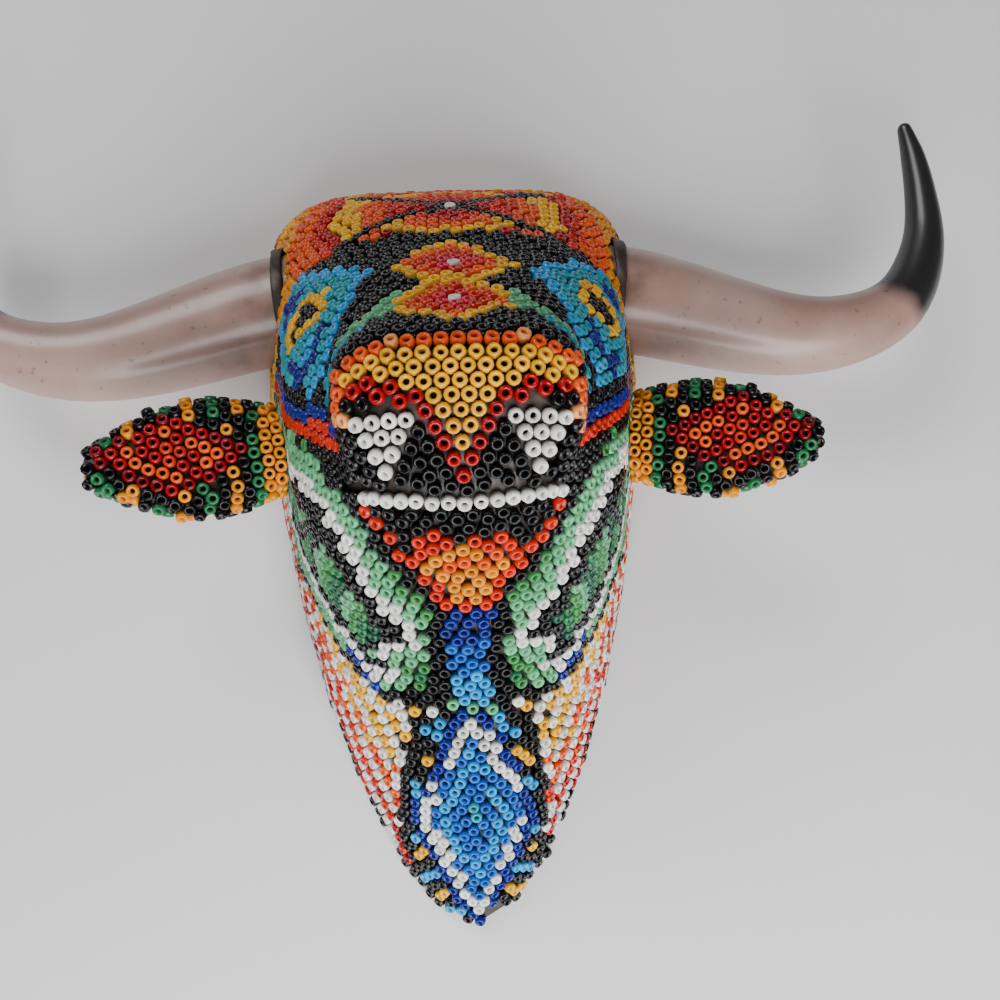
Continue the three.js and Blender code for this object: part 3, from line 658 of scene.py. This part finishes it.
@dataclass(frozen=True)
class HeadPattern:
    """Every figure on the head."""

    face: HeadMap
    profile: Callable[[float], float]
    leaf: Outline = Outline(LEAF_CORNERS)
    diamonds: Tuple[float, float] = (14.0, 29.0)
    flower: float = 56.0
    eye: Tuple[float, float] = (25.0, 28.0)
    bib_middle: float = 22.8
    bib_half: Tuple[float, float] = (8.4, 16.5)
    bib_outline: Tuple[float, float, float] = (13.2, 26.0, 0.4)
    thread_slope: float = 0.577
    thread_pitch: float = 2.5
    thread_room: float = 0.07
    neck_top: float = 42.0

    def colour(self, spot: Spot) -> Glass:
        """Give the colour of the bead at a place."""
        up = self.face.up_face(spot)
        if self.on_muzzle(spot):
            return self.muzzle(spot)
        if self.face.over_band(spot) > 0.0 or up > 30.0 and spot.z > 100.0:
            if up > 43.0 + 0.06 * abs(spot.x):
                return self.crown(spot)
            return self.brow(spot)
        if spot.z < 41.0 and abs(spot.x) < self.bib_edge(spot.z):
            return self.bib(spot)
        return self.cheek(spot)

    def on_muzzle(self, spot: Spot) -> bool:
        """Say whether a place lies on the muzzle or the chin."""
        side = 18.6 if spot.z > 72.5 else 3.2 + 1.02 * (spot.z - 57.4)
        return self.face.up_face(spot) < 2.2 and spot.z > 56.8 and spot.d > 46.0 and self.reach(spot) < side

    def reach(self, spot: Spot) -> float:
        """Give the distance round the head from its middle, at the spot's height."""
        return math.hypot(spot.x, self.profile(spot.z) - spot.d)

    def marks(self, tip: float) -> List[Marked]:
        """Mark the beads of the nose's wedge and of the nostrils, in metres."""
        step, rise = 2.32, 1.93
        made: List[Marked] = []
        for row in range(9):
            for place in range(9 - row):
                x, edge = (place - (8 - row) / 2) * step, row > 2 and place in (0, 8 - row) or row > 6
                colour = Glass.RED if edge else Glass.YELLOW
                made.append(Marked(x * MM, tip + (73.2 + (8 - row) * rise) * MM, colour))
        for side in SIDES.values():
            for row in range(4):
                for place in range(4 - row):
                    x = side * 10.6 + (place - (3 - row) / 2) * step
                    made.append(Marked(x * MM, tip + (80.0 - row * rise) * MM, Glass.WHITE))
        return made

    def muzzle(self, spot: Spot) -> Glass:
        """Colour the nose, the mouth and the chin."""
        x, z, up = abs(spot.x), spot.z, self.face.up_face(spot)
        reach = self.reach(spot)
        if up > 1.7:
            return Glass.BLACK
        brim = min(73.2 + 1.66 * x, 82.2 + 0.14 * x)
        if z > 80.0 and reach > 16.2 and x > 13.5:
            return Glass.ORANGE if z > 83.0 else Glass.PEACH
        if up > -0.4:
            return Glass.ORANGE if up < 0.6 else Glass.PEACH
        if z > brim + 1.3:
            return Glass.YELLOW
        if z > brim - 1.1:
            return Glass.RED
        if abs(z - self.mouth(x)) < 0.95 and x < 15.2:
            return Glass.WHITE
        outline = 3.2 + 1.02 * (z - 57.4) - reach
        if z < 72.5 and outline < 2.3:
            return Glass.FIRE
        lip = 65.6 + 1.1 * math.exp(-(((x - 5.0) / 2.0) ** 2)) - 0.5 * math.exp(-(((x - 9.0) / 2.0) ** 2))
        return Glass.BLACK if z > lip else self.chin(x, z)

    @staticmethod
    def mouth(x: float) -> float:
        """Give the height of the mouth at a distance from the middle."""
        return 70.0 + 0.011 * x * x

    @staticmethod
    def chin(x: float, z: float) -> Glass:
        """Colour the chin: a yellow kite in orange."""
        kite = x / 7.0 + (z - 62.6) / 2.6 if z > 62.6 else x / 7.0 + (62.6 - z) / 6.2
        if 62.2 < z < 63.3 and kite < 0.7:
            return Glass.ORANGE
        return stepped(kite, [(1.0, Glass.OCHRE), (1.25, Glass.ORANGE)], Glass.FIRE)

    def brow(self, spot: Spot) -> Glass:
        """Colour the forehead and the eye patches."""
        up, side, band = self.face.up_face(spot), self.face.off_middle(spot), self.face.over_band(spot)
        if band < 6.4 and side > 14.0:
            return stepped(band, [(2.2, Glass.FIRE), (4.4, Glass.COBALT)], Glass.BLACK)
        strip = 5.0 + 9.5 * math.exp(-(side - 10.0) / 7.0)
        inner = (side - 10.3 - 0.47 * max(0.0, 29.0 - up)) * 0.9
        top = (30.0 + 1.1 * (side - 10.3) - up) * 0.67
        edge = min(inner, up - strip - 3.6, top, 37.0 - side)
        if edge > 0.0:
            return self.eye_patch(up, side, edge)
        if abs(up - strip) < 3.1 and side > 8.2 and up < 21.0:
            return Glass.MINT if up > 9.5 else Glass.TURQUOISE
        for middle in self.diamonds:
            ring = abs(spot.x) / 10.6 + abs(up - middle) / 9.8
            if ring < 1.08 and up > 4.6:
                steps = [(0.15, Glass.WHITE), (0.36, Glass.MAGENTA), (0.60, Glass.FIRE), (0.80, Glass.ORANGE)]
                return stepped(ring, steps, Glass.YELLOW)
        return Glass.BLACK

    def eye_patch(self, up: float, side: float, edge: float) -> Glass:
        """Colour the blue patch round an eye."""
        ring = math.hypot(side - self.eye[0], up - self.eye[1])
        if ring < 5.3:
            return Glass.BLACK if ring < 2.9 else Glass.YELLOW
        if ring < 7.6:
            return Glass.TURQUOISE
        steps = [(1.7, Glass.BLACK), (3.9, Glass.SKY), (6.1, Glass.TURQUOISE), (8.3, Glass.COBALT)]
        return stepped(edge, steps, Glass.SKY)

    def crown(self, spot: Spot) -> Glass:
        """Colour the flower on top of the head and the flames beside it."""
        x, back = abs(spot.x), self.face.up_face(spot) - self.flower
        ring = math.hypot(x, back)
        if ring < 1.6:
            return Glass.WHITE
        cross = abs(abs(back) - 0.62 * x) * 0.85
        if ring < 23.0 and cross < 1.15:
            return Glass.BLACK
        reach = ring if abs(back) < 0.62 * x else ring * 1.45
        warm = (Glass.CRIMSON, Glass.RED, Glass.FIRE, Glass.ORANGE, Glass.YELLOW)
        petal = list(zip((4.5, 8.0, 12.0, 16.0, 21.0), warm))
        if reach < 21.0:
            return stepped(reach, petal, Glass.BLACK)
        if reach < 22.6:
            return Glass.RED
        flame = (reach - 22.6) % 14.0
        return stepped(flame, [(2.2, Glass.FIRE), (6.6, Glass.ORANGE), (11.0, Glass.OCHRE)], Glass.YELLOW)

    def thread(self, reach: float, z: float) -> float:
        """Give the number of the neck's slanting thread at a place, the middle of a thread being a half."""
        return (reach - self.thread_slope * z) / self.thread_pitch

    def bib_edge(self, z: np.ndarray) -> np.ndarray:
        """Give the half-width of the bib at one height or at many."""
        wide, tall, rim = self.bib_outline
        return wide * np.sqrt(np.maximum(0.0, 1.0 - ((z - self.bib_middle) / tall) ** 2)) + rim

    def bib(self, spot: Spot) -> Glass:
        """Colour the bib: a blue diamond edged in white, with short dashes round it."""
        x, z = abs(spot.x), spot.z
        half, tall = self.bib_half
        diamond = x / half + abs(z - self.bib_middle) / tall
        if diamond < 1.0:
            steps = [(0.2, Glass.TURQUOISE), (0.52, Glass.BLUE), (0.8, Glass.SKY)]
            return stepped(diamond, steps, Glass.BLUE)
        if diamond < 1.25:
            return Glass.WHITE
        if diamond < 1.48:
            return Glass.COBALT
        if x > self.bib_edge(z) - 1.9 and z > 6.0:
            return Glass.BLACK
        beat = math.floor((z + 0.35 * x) / 2.2) % 4
        return (Glass.YELLOW, Glass.BLACK, Glass.SKY, Glass.BLACK)[beat]

    def cheek(self, spot: Spot) -> Glass:
        """Colour the throat, the green cheeks and the striped neck."""
        x, z = abs(spot.x), spot.z
        if z < 62.0 and x < 3.6 and z > 39.0:
            return stepped(z, [(42.5, Glass.MINT), (47.5, Glass.SKY), (52.0, Glass.BLUE)], Glass.COBALT)
        if z < 62.0 and x < 6.2:
            return Glass.BLACK
        if self.face.over_band(spot) > -2.2:
            return Glass.BLACK
        wide = x + 0.5 * max(0.0, 34.0 - spot.d)
        inside = self.leaf.inside(wide, z)
        if inside > 0.0:
            return self.leaves(wide, z, inside)
        floor = 44.6 + 0.16 * (wide - 8.0) + max(0.0, wide - 20.0) * 0.95
        if 19.5 < wide < 24.0 and floor - 0.5 < z < floor + 5.5:
            return Glass.COBALT
        if z < floor - 2.2 or wide > 42.0:
            return self.neck(spot, self.reach(spot))
        if z < floor:
            return Glass.BLACK
        side = 3.2 + 1.02 * (z - 57.4)
        if z > 57.0 and self.reach(spot) < side + 2.3:
            return Glass.BLACK
        return stepped(-inside, [(2.2, Glass.MINT), (4.2, Glass.LEAF), (6.6, Glass.GREEN)], Glass.FOREST)

    @staticmethod
    def leaves(wide: float, z: float, inside: float) -> Glass:
        """Colour the pair of slanted leaves inside the white line."""
        if inside < 3.9:
            return Glass.WHITE if inside < 1.8 else Glass.BLACK
        slant = z + 0.72 * wide
        if abs(slant - 86.0) < 1.1 or abs(z - 69.5 - 0.1 * wide) < 1.1 and wide > 18.0:
            return Glass.BLACK
        shade = (slant - 64.0) % 11.0
        return stepped(shade, [(2.2, Glass.FOREST), (4.4, Glass.GREEN), (7.6, Glass.LEAF)], Glass.MINT)

    def neck(self, spot: Spot, reach: float) -> Glass:
        """Colour the neck: white threads between threads that run from yellow to red."""
        if spot.d < 2.6:
            return Glass.BLACK
        if math.floor(self.thread(reach, spot.z)) % 2:
            return Glass.WHITE
        heat = spot.d / 26.0 + 0.12 * math.sin(0.9 * spot.z)
        steps = [(0.2, Glass.RED), (0.42, Glass.FIRE), (0.66, Glass.ORANGE)]
        return stepped(heat, steps, Glass.YELLOW)


@dataclass(frozen=True)
class EarPattern:
    """Bars across the ear, with a red lozenge on its front."""

    length: float = 31.0
    middle: float = 17.5
    half: Tuple[float, float] = (13.0, 7.4)
    bar: float = 2.0
    start: float = 0.9

    def colour(self, out: float, high: float, front: bool) -> Glass:
        """Give a bead's colour.

        Args:
            out: Distance from the ear's foot, in millimetres.
            high: Height over the ear's middle line, in millimetres.
            front: Whether the bead is on the front.

        Returns:
            The bead's colour.
        """
        if front:
            lozenge = abs(out - self.middle) / self.half[0] + abs(high) / self.half[1]
            if lozenge < 1.0:
                steps = [(0.24, Glass.FIRE), (0.5, Glass.RED), (0.66, Glass.ORANGE), (0.84, Glass.RED)]
                return stepped(lozenge, steps, Glass.CRIMSON)
        if out < 3.4:
            return Glass.OCHRE
        order = (Glass.BLACK, Glass.GREEN, Glass.BLACK, Glass.OCHRE)
        return order[int(max(0.0, out - self.start) / self.bar) % len(order)]


# ---------------------------------------------------------------- sub-assemblies


def in_millimetres(point: np.ndarray, tip: float) -> Spot:
    """Turn a point in metres into a spot on the head."""
    return Spot(point[0] / MM, -point[1] / MM, (point[2] - tip) / MM)


@dataclass
class BeadedHead:
    """The bead fields over the wooden head."""

    writer: BeadWriter
    skins: Sequence[str] = (
        "muzzle_beads",
        "nose_band_beads",
        "chin_beads",
        "forehead_beads",
        "poll_beads",
        "throat_beads",
        "bib_beads",
    )
    paired_skins: Sequence[str] = ("eye_patch_beads", "horn_band_beads", "cheek_beads", "neck_stripe_beads")
    clearance: float = 0.95 * MM
    back_margin: float = 1.0 * MM
    slice_depth: float = 0.14 * MM
    after_the_face: int = 10000

    def fields(self) -> List[str]:
        """Name every field on the head."""
        return [*self.skins, *(f"{name}_{side}" for name in self.paired_skins for side in SIDES)]

    def order(self, face: HeadMap, tip: float) -> Callable[[np.ndarray], np.ndarray]:
        """Make the order of laying: the mouth, then up the face, then down the cheeks."""

        def rank(points: np.ndarray) -> np.ndarray:
            x, d, z = points[:, 0] / MM, -points[:, 1] / MM, (points[:, 2] - tip) / MM
            thickness = self.slice_depth / MM
            up = ((face.nose_depth - d) + (z - face.nose_height)) * math.sqrt(0.5)
            band = z - (face.band_height + face.band_slope * (d - face.band_depth))
            downward = self.after_the_face + np.floor((150 - z) / thickness)
            rows = np.where((band > 0) & (up > 0), np.floor(up / thickness), downward)
            mouth = (np.abs(z - HeadPattern.mouth(np.abs(x))) < 0.16) & (d > 54.0)
            rows = np.where(mouth, -1, rows)
            return np.lexsort((x, np.round(np.abs(x), 2), rows))

        return rank

    def keep(self, pattern: HeadPattern, tip: float) -> Callable[[np.ndarray], np.ndarray]:
        """Make the test for a bead's place.

        Args:
            pattern: The head's pattern, whose neck beads keep to their threads.
            tip: The height of the tip of the bib.

        Returns:
            The test, false near the horns' collars, the ears' dowels and the back edge, and between threads.
        """
        heights = np.arange(-4.0, 60.0)
        fronts = [pattern.profile(z) for z in heights]
        trees = [tree_of(f"{name}_{side}") for name in ("horn_wax_collar", "ear_dowel") for side in SIDES]

        def clear(points: np.ndarray) -> np.ndarray:
            near = [any(tree.find_nearest(Vector(p), self.clearance)[0] for tree in trees) for p in points]
            x, d, z = points[:, 0] / MM, -points[:, 1] / MM, (points[:, 2] - tip) / MM
            place = pattern.thread(np.hypot(x, np.interp(z, heights, fronts) - d), z)
            neck = (z < pattern.neck_top) & (np.abs(x) > pattern.bib_edge(z) + 1.0)
            between = neck & (np.abs(place - np.floor(place) - 0.5) > pattern.thread_room)
            return (points[:, 1] < -self.back_margin) & ~np.array(near) & ~between

        return clear

    def build(self) -> List[bpy.types.Object]:
        """Lay and write the beads of the head.

        Returns:
            One piece for each field.
        """
        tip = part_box("bib_beads")[0][2]
        core_low, core_high = (Vector(corner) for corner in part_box("head_core"))
        centre = core_low.lerp(core_high, 0.5) + Vector((0.0, 0.004, 0.012))
        face = HeadMap()
        skin = tree_of("wax_coat")

        def profile(z: float) -> float:
            hit = skin.ray_cast(Vector((0.0001, -0.2, tip + max(1.0, z) * MM)), Vector((0.0, 1.0, 0.0)))
            return -hit[0].y / MM + 1.6 if hit[0] else 2.0

        pattern = HeadPattern(face, profile)
        layer = BeadLayer(self.fields(), centre)
        marks = pattern.marks(tip)
        seats = layer.lay(self.order(face, tip), self.keep(pattern, tip), marks)
        spots = [in_millimetres(point, tip) for point in seats.points]
        colours = [pattern.colour(spot) for spot in spots]
        colours[: len(marks)] = [mark.colour for mark in marks]
        pieces = []
        for index, name in enumerate(layer.fields):
            mine = seats.fields == index
            own_colours = [colour for colour, own in zip(colours, mine) if own]
            own_seats = Seats(seats.points[mine], seats.normals[mine], seats.fields[mine])
            piece = self.writer.write(f"{name}_glass", own_seats, own_colours)
            pieces.append(dress(piece, name))
        return pieces


def dress(piece: bpy.types.Object, node: str, body: str = "head") -> bpy.types.Object:
    """Hide a solid behind its piece and let the piece ride with a body."""
    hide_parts(node)
    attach(piece, body)
    log.info("%s stands for %s", piece.name, node)
    return piece


@dataclass
class BeadedEars:
    """The beads on both ears."""

    writer: BeadWriter
    pattern: EarPattern = EarPattern()
    slice_depth: float = 0.14 * MM

    def build(self) -> List[bpy.types.Object]:
        """Lay and write the beads of both ears."""
        return [piece for side in SIDES for piece in self.one(side)]

    def one(self, side: str) -> List[bpy.types.Object]:
        """Lay and write the beads of one ear.

        Args:
            side: left or right.

        Returns:
            The front and the back piece.
        """
        low, high = (Vector(corner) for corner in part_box(f"ear_{side}"))
        sign = SIDES[side]
        foot = low.x if sign > 0 else high.x
        middle = low.lerp(high, 0.5)
        fields = [f"ear_front_beads_{side}", f"ear_back_beads_{side}"]

        def order(points: np.ndarray) -> np.ndarray:
            out = np.floor((points[:, 0] - foot) * sign / self.slice_depth)
            return np.lexsort((np.round(np.abs(points[:, 2] - middle.z), 5), out))

        layer = BeadLayer(fields, middle)
        seats = layer.lay(order, lambda points: np.ones(len(points), dtype=bool))
        pieces = []
        for index, name in enumerate(fields):
            mine = seats.fields == index
            colours = [
                self.pattern.colour((x - foot) * sign / MM, (z - middle.z) / MM, index == 0)
                for x, _, z in seats.points[mine]
            ]
            own_seats = Seats(seats.points[mine], seats.normals[mine], seats.fields[mine])
            pieces.append(dress(self.writer.write(f"{name}_glass", own_seats, colours), name))
        return pieces


def smooth_copy(node: str, name: str, levels: int, quads: bool = True) -> bpy.types.Object:
    """Make a smooth piece from a solid's own mesh.

    Args:
        node: The solid.
        name: The new piece's name.
        levels: How often its faces are divided.
        quads: Whether triangles are joined in pairs first.

    Returns:
        The piece, in the solid's place.
    """
    piece = bpy.data.objects.new(name, bpy.data.objects[node].data.copy())
    piece.data.materials.clear()
    bpy.context.scene.collection.objects.link(piece)
    make_active(piece)
    bpy.ops.object.mode_set(mode="EDIT")
    bpy.ops.mesh.select_all(action="SELECT")
    bpy.ops.mesh.remove_doubles(threshold=0.00001)
    if quads:
        bpy.ops.mesh.tris_convert_to_quads(face_threshold=math.radians(50), shape_threshold=math.radians(60))
    bpy.ops.mesh.normals_make_consistent(inside=False)
    bpy.ops.object.mode_set(mode="OBJECT")
    if levels:
        divide = piece.modifiers.new("round", "SUBSURF")
        divide.levels = levels
        apply_modifiers(piece)
    make_active(piece)
    bpy.ops.object.shade_smooth_by_angle(angle=math.radians(50))
    return piece


@dataclass
class Horns:
    """The two horns and the lumpy rings of wax at their feet."""

    finish: bpy.types.Material
    wax: bpy.types.Material
    bend_height: float = 104.0

    def along(self, piece: bpy.types.Object) -> None:
        """Write how far each point lies along the horn, from 0 at the head to 1 at the tip."""
        points = np.empty(len(piece.data.vertices) * 3)
        piece.data.vertices.foreach_get("co", points)
        points = points.reshape(-1, 3)
        across, high = np.abs(points[:, 0]), points[:, 2]
        start, reach = across.min() + 0.008, across.max()
        bottom = high.min() + 0.006
        rise = np.clip(high - bottom, 0.0, None) * np.clip((across - (reach - 0.030)) / 0.016, 0.0, 1.0)
        length = (across - start) + rise
        share = np.clip(length / length.max(), 0.0, 1.0)
        layer = piece.data.attributes.new("along", "FLOAT", "POINT")
        layer.data.foreach_set("value", share)

    def ring(self, side: str) -> bpy.types.Object:
        """Model the thumbed ring of black wax at the foot of a horn."""
        node = f"horn_wax_collar_{side}"
        piece = smooth_copy(node, f"{node}_thumbed", 2, quads=False)
        lumps = bpy.data.textures.new(f"{node}_lumps", "CLOUDS")
        lumps.noise_scale = 0.004
        press = piece.modifiers.new("thumb", "DISPLACE")
        press.texture = lumps
        press.strength = 0.0009
        press.mid_level = 0.45
        apply_modifiers(piece)
        piece.data.materials.append(self.wax)
        return dress(piece, node)

    def build(self) -> List[bpy.types.Object]:
        """Model and dress both horns and their rings."""
        pieces = []
        for side in SIDES:
            horn = smooth_copy(f"horn_{side}", f"horn_{side}_carved", 2)
            self.along(horn)
            horn.data.materials.append(self.finish)
            pieces += [dress(horn, f"horn_{side}"), self.ring(side)]
        return pieces


@dataclass
class Hanger:
    """The ring, its strap and the screw that holds it."""

    steel: bpy.types.Material
    brass: bpy.types.Material
    bevel: float = 0.12 * MM

    def softened(self, node: str, finish: bpy.types.Material) -> bpy.types.Object:
        """Model a pressed metal part with its edges broken."""
        piece = smooth_copy(node, f"{node}_pressed", 0, quads=False)
        edge = piece.modifiers.new("edge", "BEVEL")
        edge.width = self.bevel
        edge.segments = 2
        edge.limit_method = "ANGLE"
        edge.angle_limit = math.radians(50)
        apply_modifiers(piece)
        bpy.ops.object.shade_smooth_by_angle(angle=math.radians(40))
        piece.data.materials.append(finish)
        return dress(piece, node)

    def build(self) -> List[bpy.types.Object]:
        """Model and dress the three pieces."""
        ring = smooth_copy("hanger_ring", "hanger_ring_wire", 2)
        ring.data.materials.append(self.steel)
        strap = self.softened("hanger_strap", self.steel)
        screw = self.softened("hanger_screw", self.brass)
        return [dress(ring, "hanger_ring", "hanger_ring"), strap, screw]


# ---------------------------------------------------------------- the room


@dataclass
class Studio:
    """The pale surface behind, the lights and the camera."""

    eye: Tuple[float, float, float] = (-0.002, -0.188, -0.021)
    pitch: float = 9.9
    yaw: float = -3.1
    roll: float = -3.1
    lens: float = 34.0
    corners: int = 72
    margin: float = 2.0 * MM
    behind: float = 0.6 * MM
    surface_radius: float = 1.5

    def outline(self) -> List[Vector]:
        """Find the edge of the head's back face, pulled in by the margin.

        Returns:
            Points round the face, as many as the surface has corners.
        """
        core = tree_of("head_core")
        low, high = (Vector(corner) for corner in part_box("head_core"))
        middle = Vector((0.0, -1.0 * MM, (low.z + high.z) / 2 + 10.0 * MM))
        edge = []
        for step in range(self.corners):
            turn = 2 * math.pi * step / self.corners
            out = Vector((math.cos(turn), 0.0, math.sin(turn)))
            hit = core.ray_cast(middle + out * 0.2, -out)[0]
            edge.append(middle + out * ((hit - middle).length - self.margin))
        return edge

    def surface(self) -> bpy.types.Object:
        """Make the surface that the head lies on, open behind the head and clear when seen from behind."""
        forget_selection()
        bpy.ops.mesh.primitive_circle_add(vertices=self.corners, radius=self.surface_radius)
        plane = bpy.context.object
        plane.name = "pale_surface"
        bpy.ops.object.mode_set(mode="EDIT")
        bpy.ops.mesh.select_all(action="SELECT")
        bpy.ops.mesh.extrude_region_move()
        bpy.ops.object.mode_set(mode="OBJECT")
        inner = self.outline()
        for index, vertex in enumerate(plane.data.vertices):
            step = index % self.corners
            turn = 2 * math.pi * step / self.corners
            place = self.surface_radius * Vector((math.cos(turn), 0.0, math.sin(turn)))
            vertex.co = inner[step] if index >= self.corners else place
            vertex.co.y = self.behind
        self.face_forward(plane)
        nodes = Nodes("pale_surface")
        nodes.settings(Roughness=0.85)
        nodes.shader.inputs["Base Color"].default_value = (0.74, 0.73, 0.73, 1.0)
        clear = nodes.node("ShaderNodeBsdfTransparent")
        either = nodes.node("ShaderNodeMixShader")
        nodes.join(nodes.node("ShaderNodeNewGeometry").outputs["Backfacing"], either.inputs[0])
        nodes.join(nodes.shader.outputs[0], either.inputs[1])
        nodes.join(clear.outputs[0], either.inputs[2])
        nodes.join(either.outputs[0], nodes.tree.nodes["Material Output"].inputs["Surface"])
        plane.data.materials.append(nodes.material)
        return plane

    @staticmethod
    def face_forward(plane: bpy.types.Object) -> None:
        """Turn every face of the surface towards the viewer."""
        for face in plane.data.polygons:
            if face.normal.y > 0.0:
                face.flip()
        plane.data.update()

    def light(
        self,
        name: str,
        place: Tuple[float, float, float],
        aim: Tuple[float, float, float],
        size: float,
        power: float,
    ) -> bpy.types.Object:
        """Add a soft square light that looks at a point."""
        data = bpy.data.lights.new(name, "AREA")
        data.size = size
        data.energy = power
        lamp = bpy.data.objects.new(name, data)
        lamp.location = place
        lamp.rotation_euler = (Vector(aim) - Vector(place)).to_track_quat("-Z", "Y").to_euler()
        bpy.context.scene.collection.objects.link(lamp)
        return lamp

    def camera(self) -> bpy.types.Object:
        """Add the camera at its viewing angle."""
        data = bpy.data.cameras.new("camera")
        data.lens = self.lens
        data.sensor_width = 36.0
        data.clip_start = 0.005
        made = bpy.data.objects.new("camera", data)
        turn = (
            Matrix.Rotation(math.radians(self.yaw), 4, "Z")
            @ Matrix.Rotation(math.radians(90.0 + self.pitch), 4, "X")
            @ Matrix.Rotation(math.radians(self.roll), 4, "Z")
        )
        made.matrix_world = Matrix.Translation(Vector(self.eye)) @ turn
        bpy.context.scene.collection.objects.link(made)
        bpy.context.scene.camera = made
        return made

    def build(self) -> None:
        """Set up the whole room."""
        world = bpy.data.worlds.new("room")
        world.use_nodes = True
        sky = world.node_tree.nodes["Background"]
        sky.inputs["Color"].default_value = (0.86, 0.88, 0.92, 1.0)
        sky.inputs["Strength"].default_value = 0.17
        bpy.context.scene.world = world
        lamps = [
            self.light("window", (-0.25, -0.50, 0.42), (0.0, -0.03, 0.0), 0.32, 2.6),
            self.light("low_window", (0.05, -0.26, -0.40), (0.0, 0.0, -0.16), 0.4, 5.0),
            self.light("rear_fill", (0.16, 0.45, 0.30), (0.0, 0.0, 0.0), 0.4, 3.0),
        ]
        self.surface()
        self.camera()
        log.info("the room is set")


# ---------------------------------------------------------------- the whole piece


def dress_solids(finishes: Dict[str, bpy.types.Material]) -> None:
    """Give every solid that stays in sight its finish."""
    for node, finish in finishes.items():
        solid = bpy.data.objects[node]
        solid.data.materials.clear()
        solid.data.materials.append(finish)
        log.info("%s takes %s", node, finish.name)


def main() -> None:
    """Build the beaded head and set up the room."""
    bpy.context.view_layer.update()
    wood, wax = CarvedWood().make(), Beeswax().make()
    across = CarvedWood("ear_wood", stretch=(26.0, 260.0, 260.0)).make()
    steel = PlatedMetal("plated_steel", (0.62, 0.62, 0.64)).make()
    brass = PlatedMetal("brass", (0.70, 0.50, 0.20)).make()
    writer = BeadWriter(BeadShape(), BeadGlass().make(), np.random.default_rng(SEED))
    dress_solids({"head_core": wood, "wax_coat": wax})
    for side in SIDES:
        dress_solids({f"ear_{side}": across, f"ear_dowel_{side}": across, f"ear_wax_{side}": wax})
        dress_solids({f"horn_dowel_{side}": across})
    BeadedHead(writer).build()
    BeadedEars(writer).build()
    Horns(LacqueredHorn().make(), wax).build()
    Hanger(steel, brass).build()
    Studio().build()


if __name__ == "__main__":
    main()
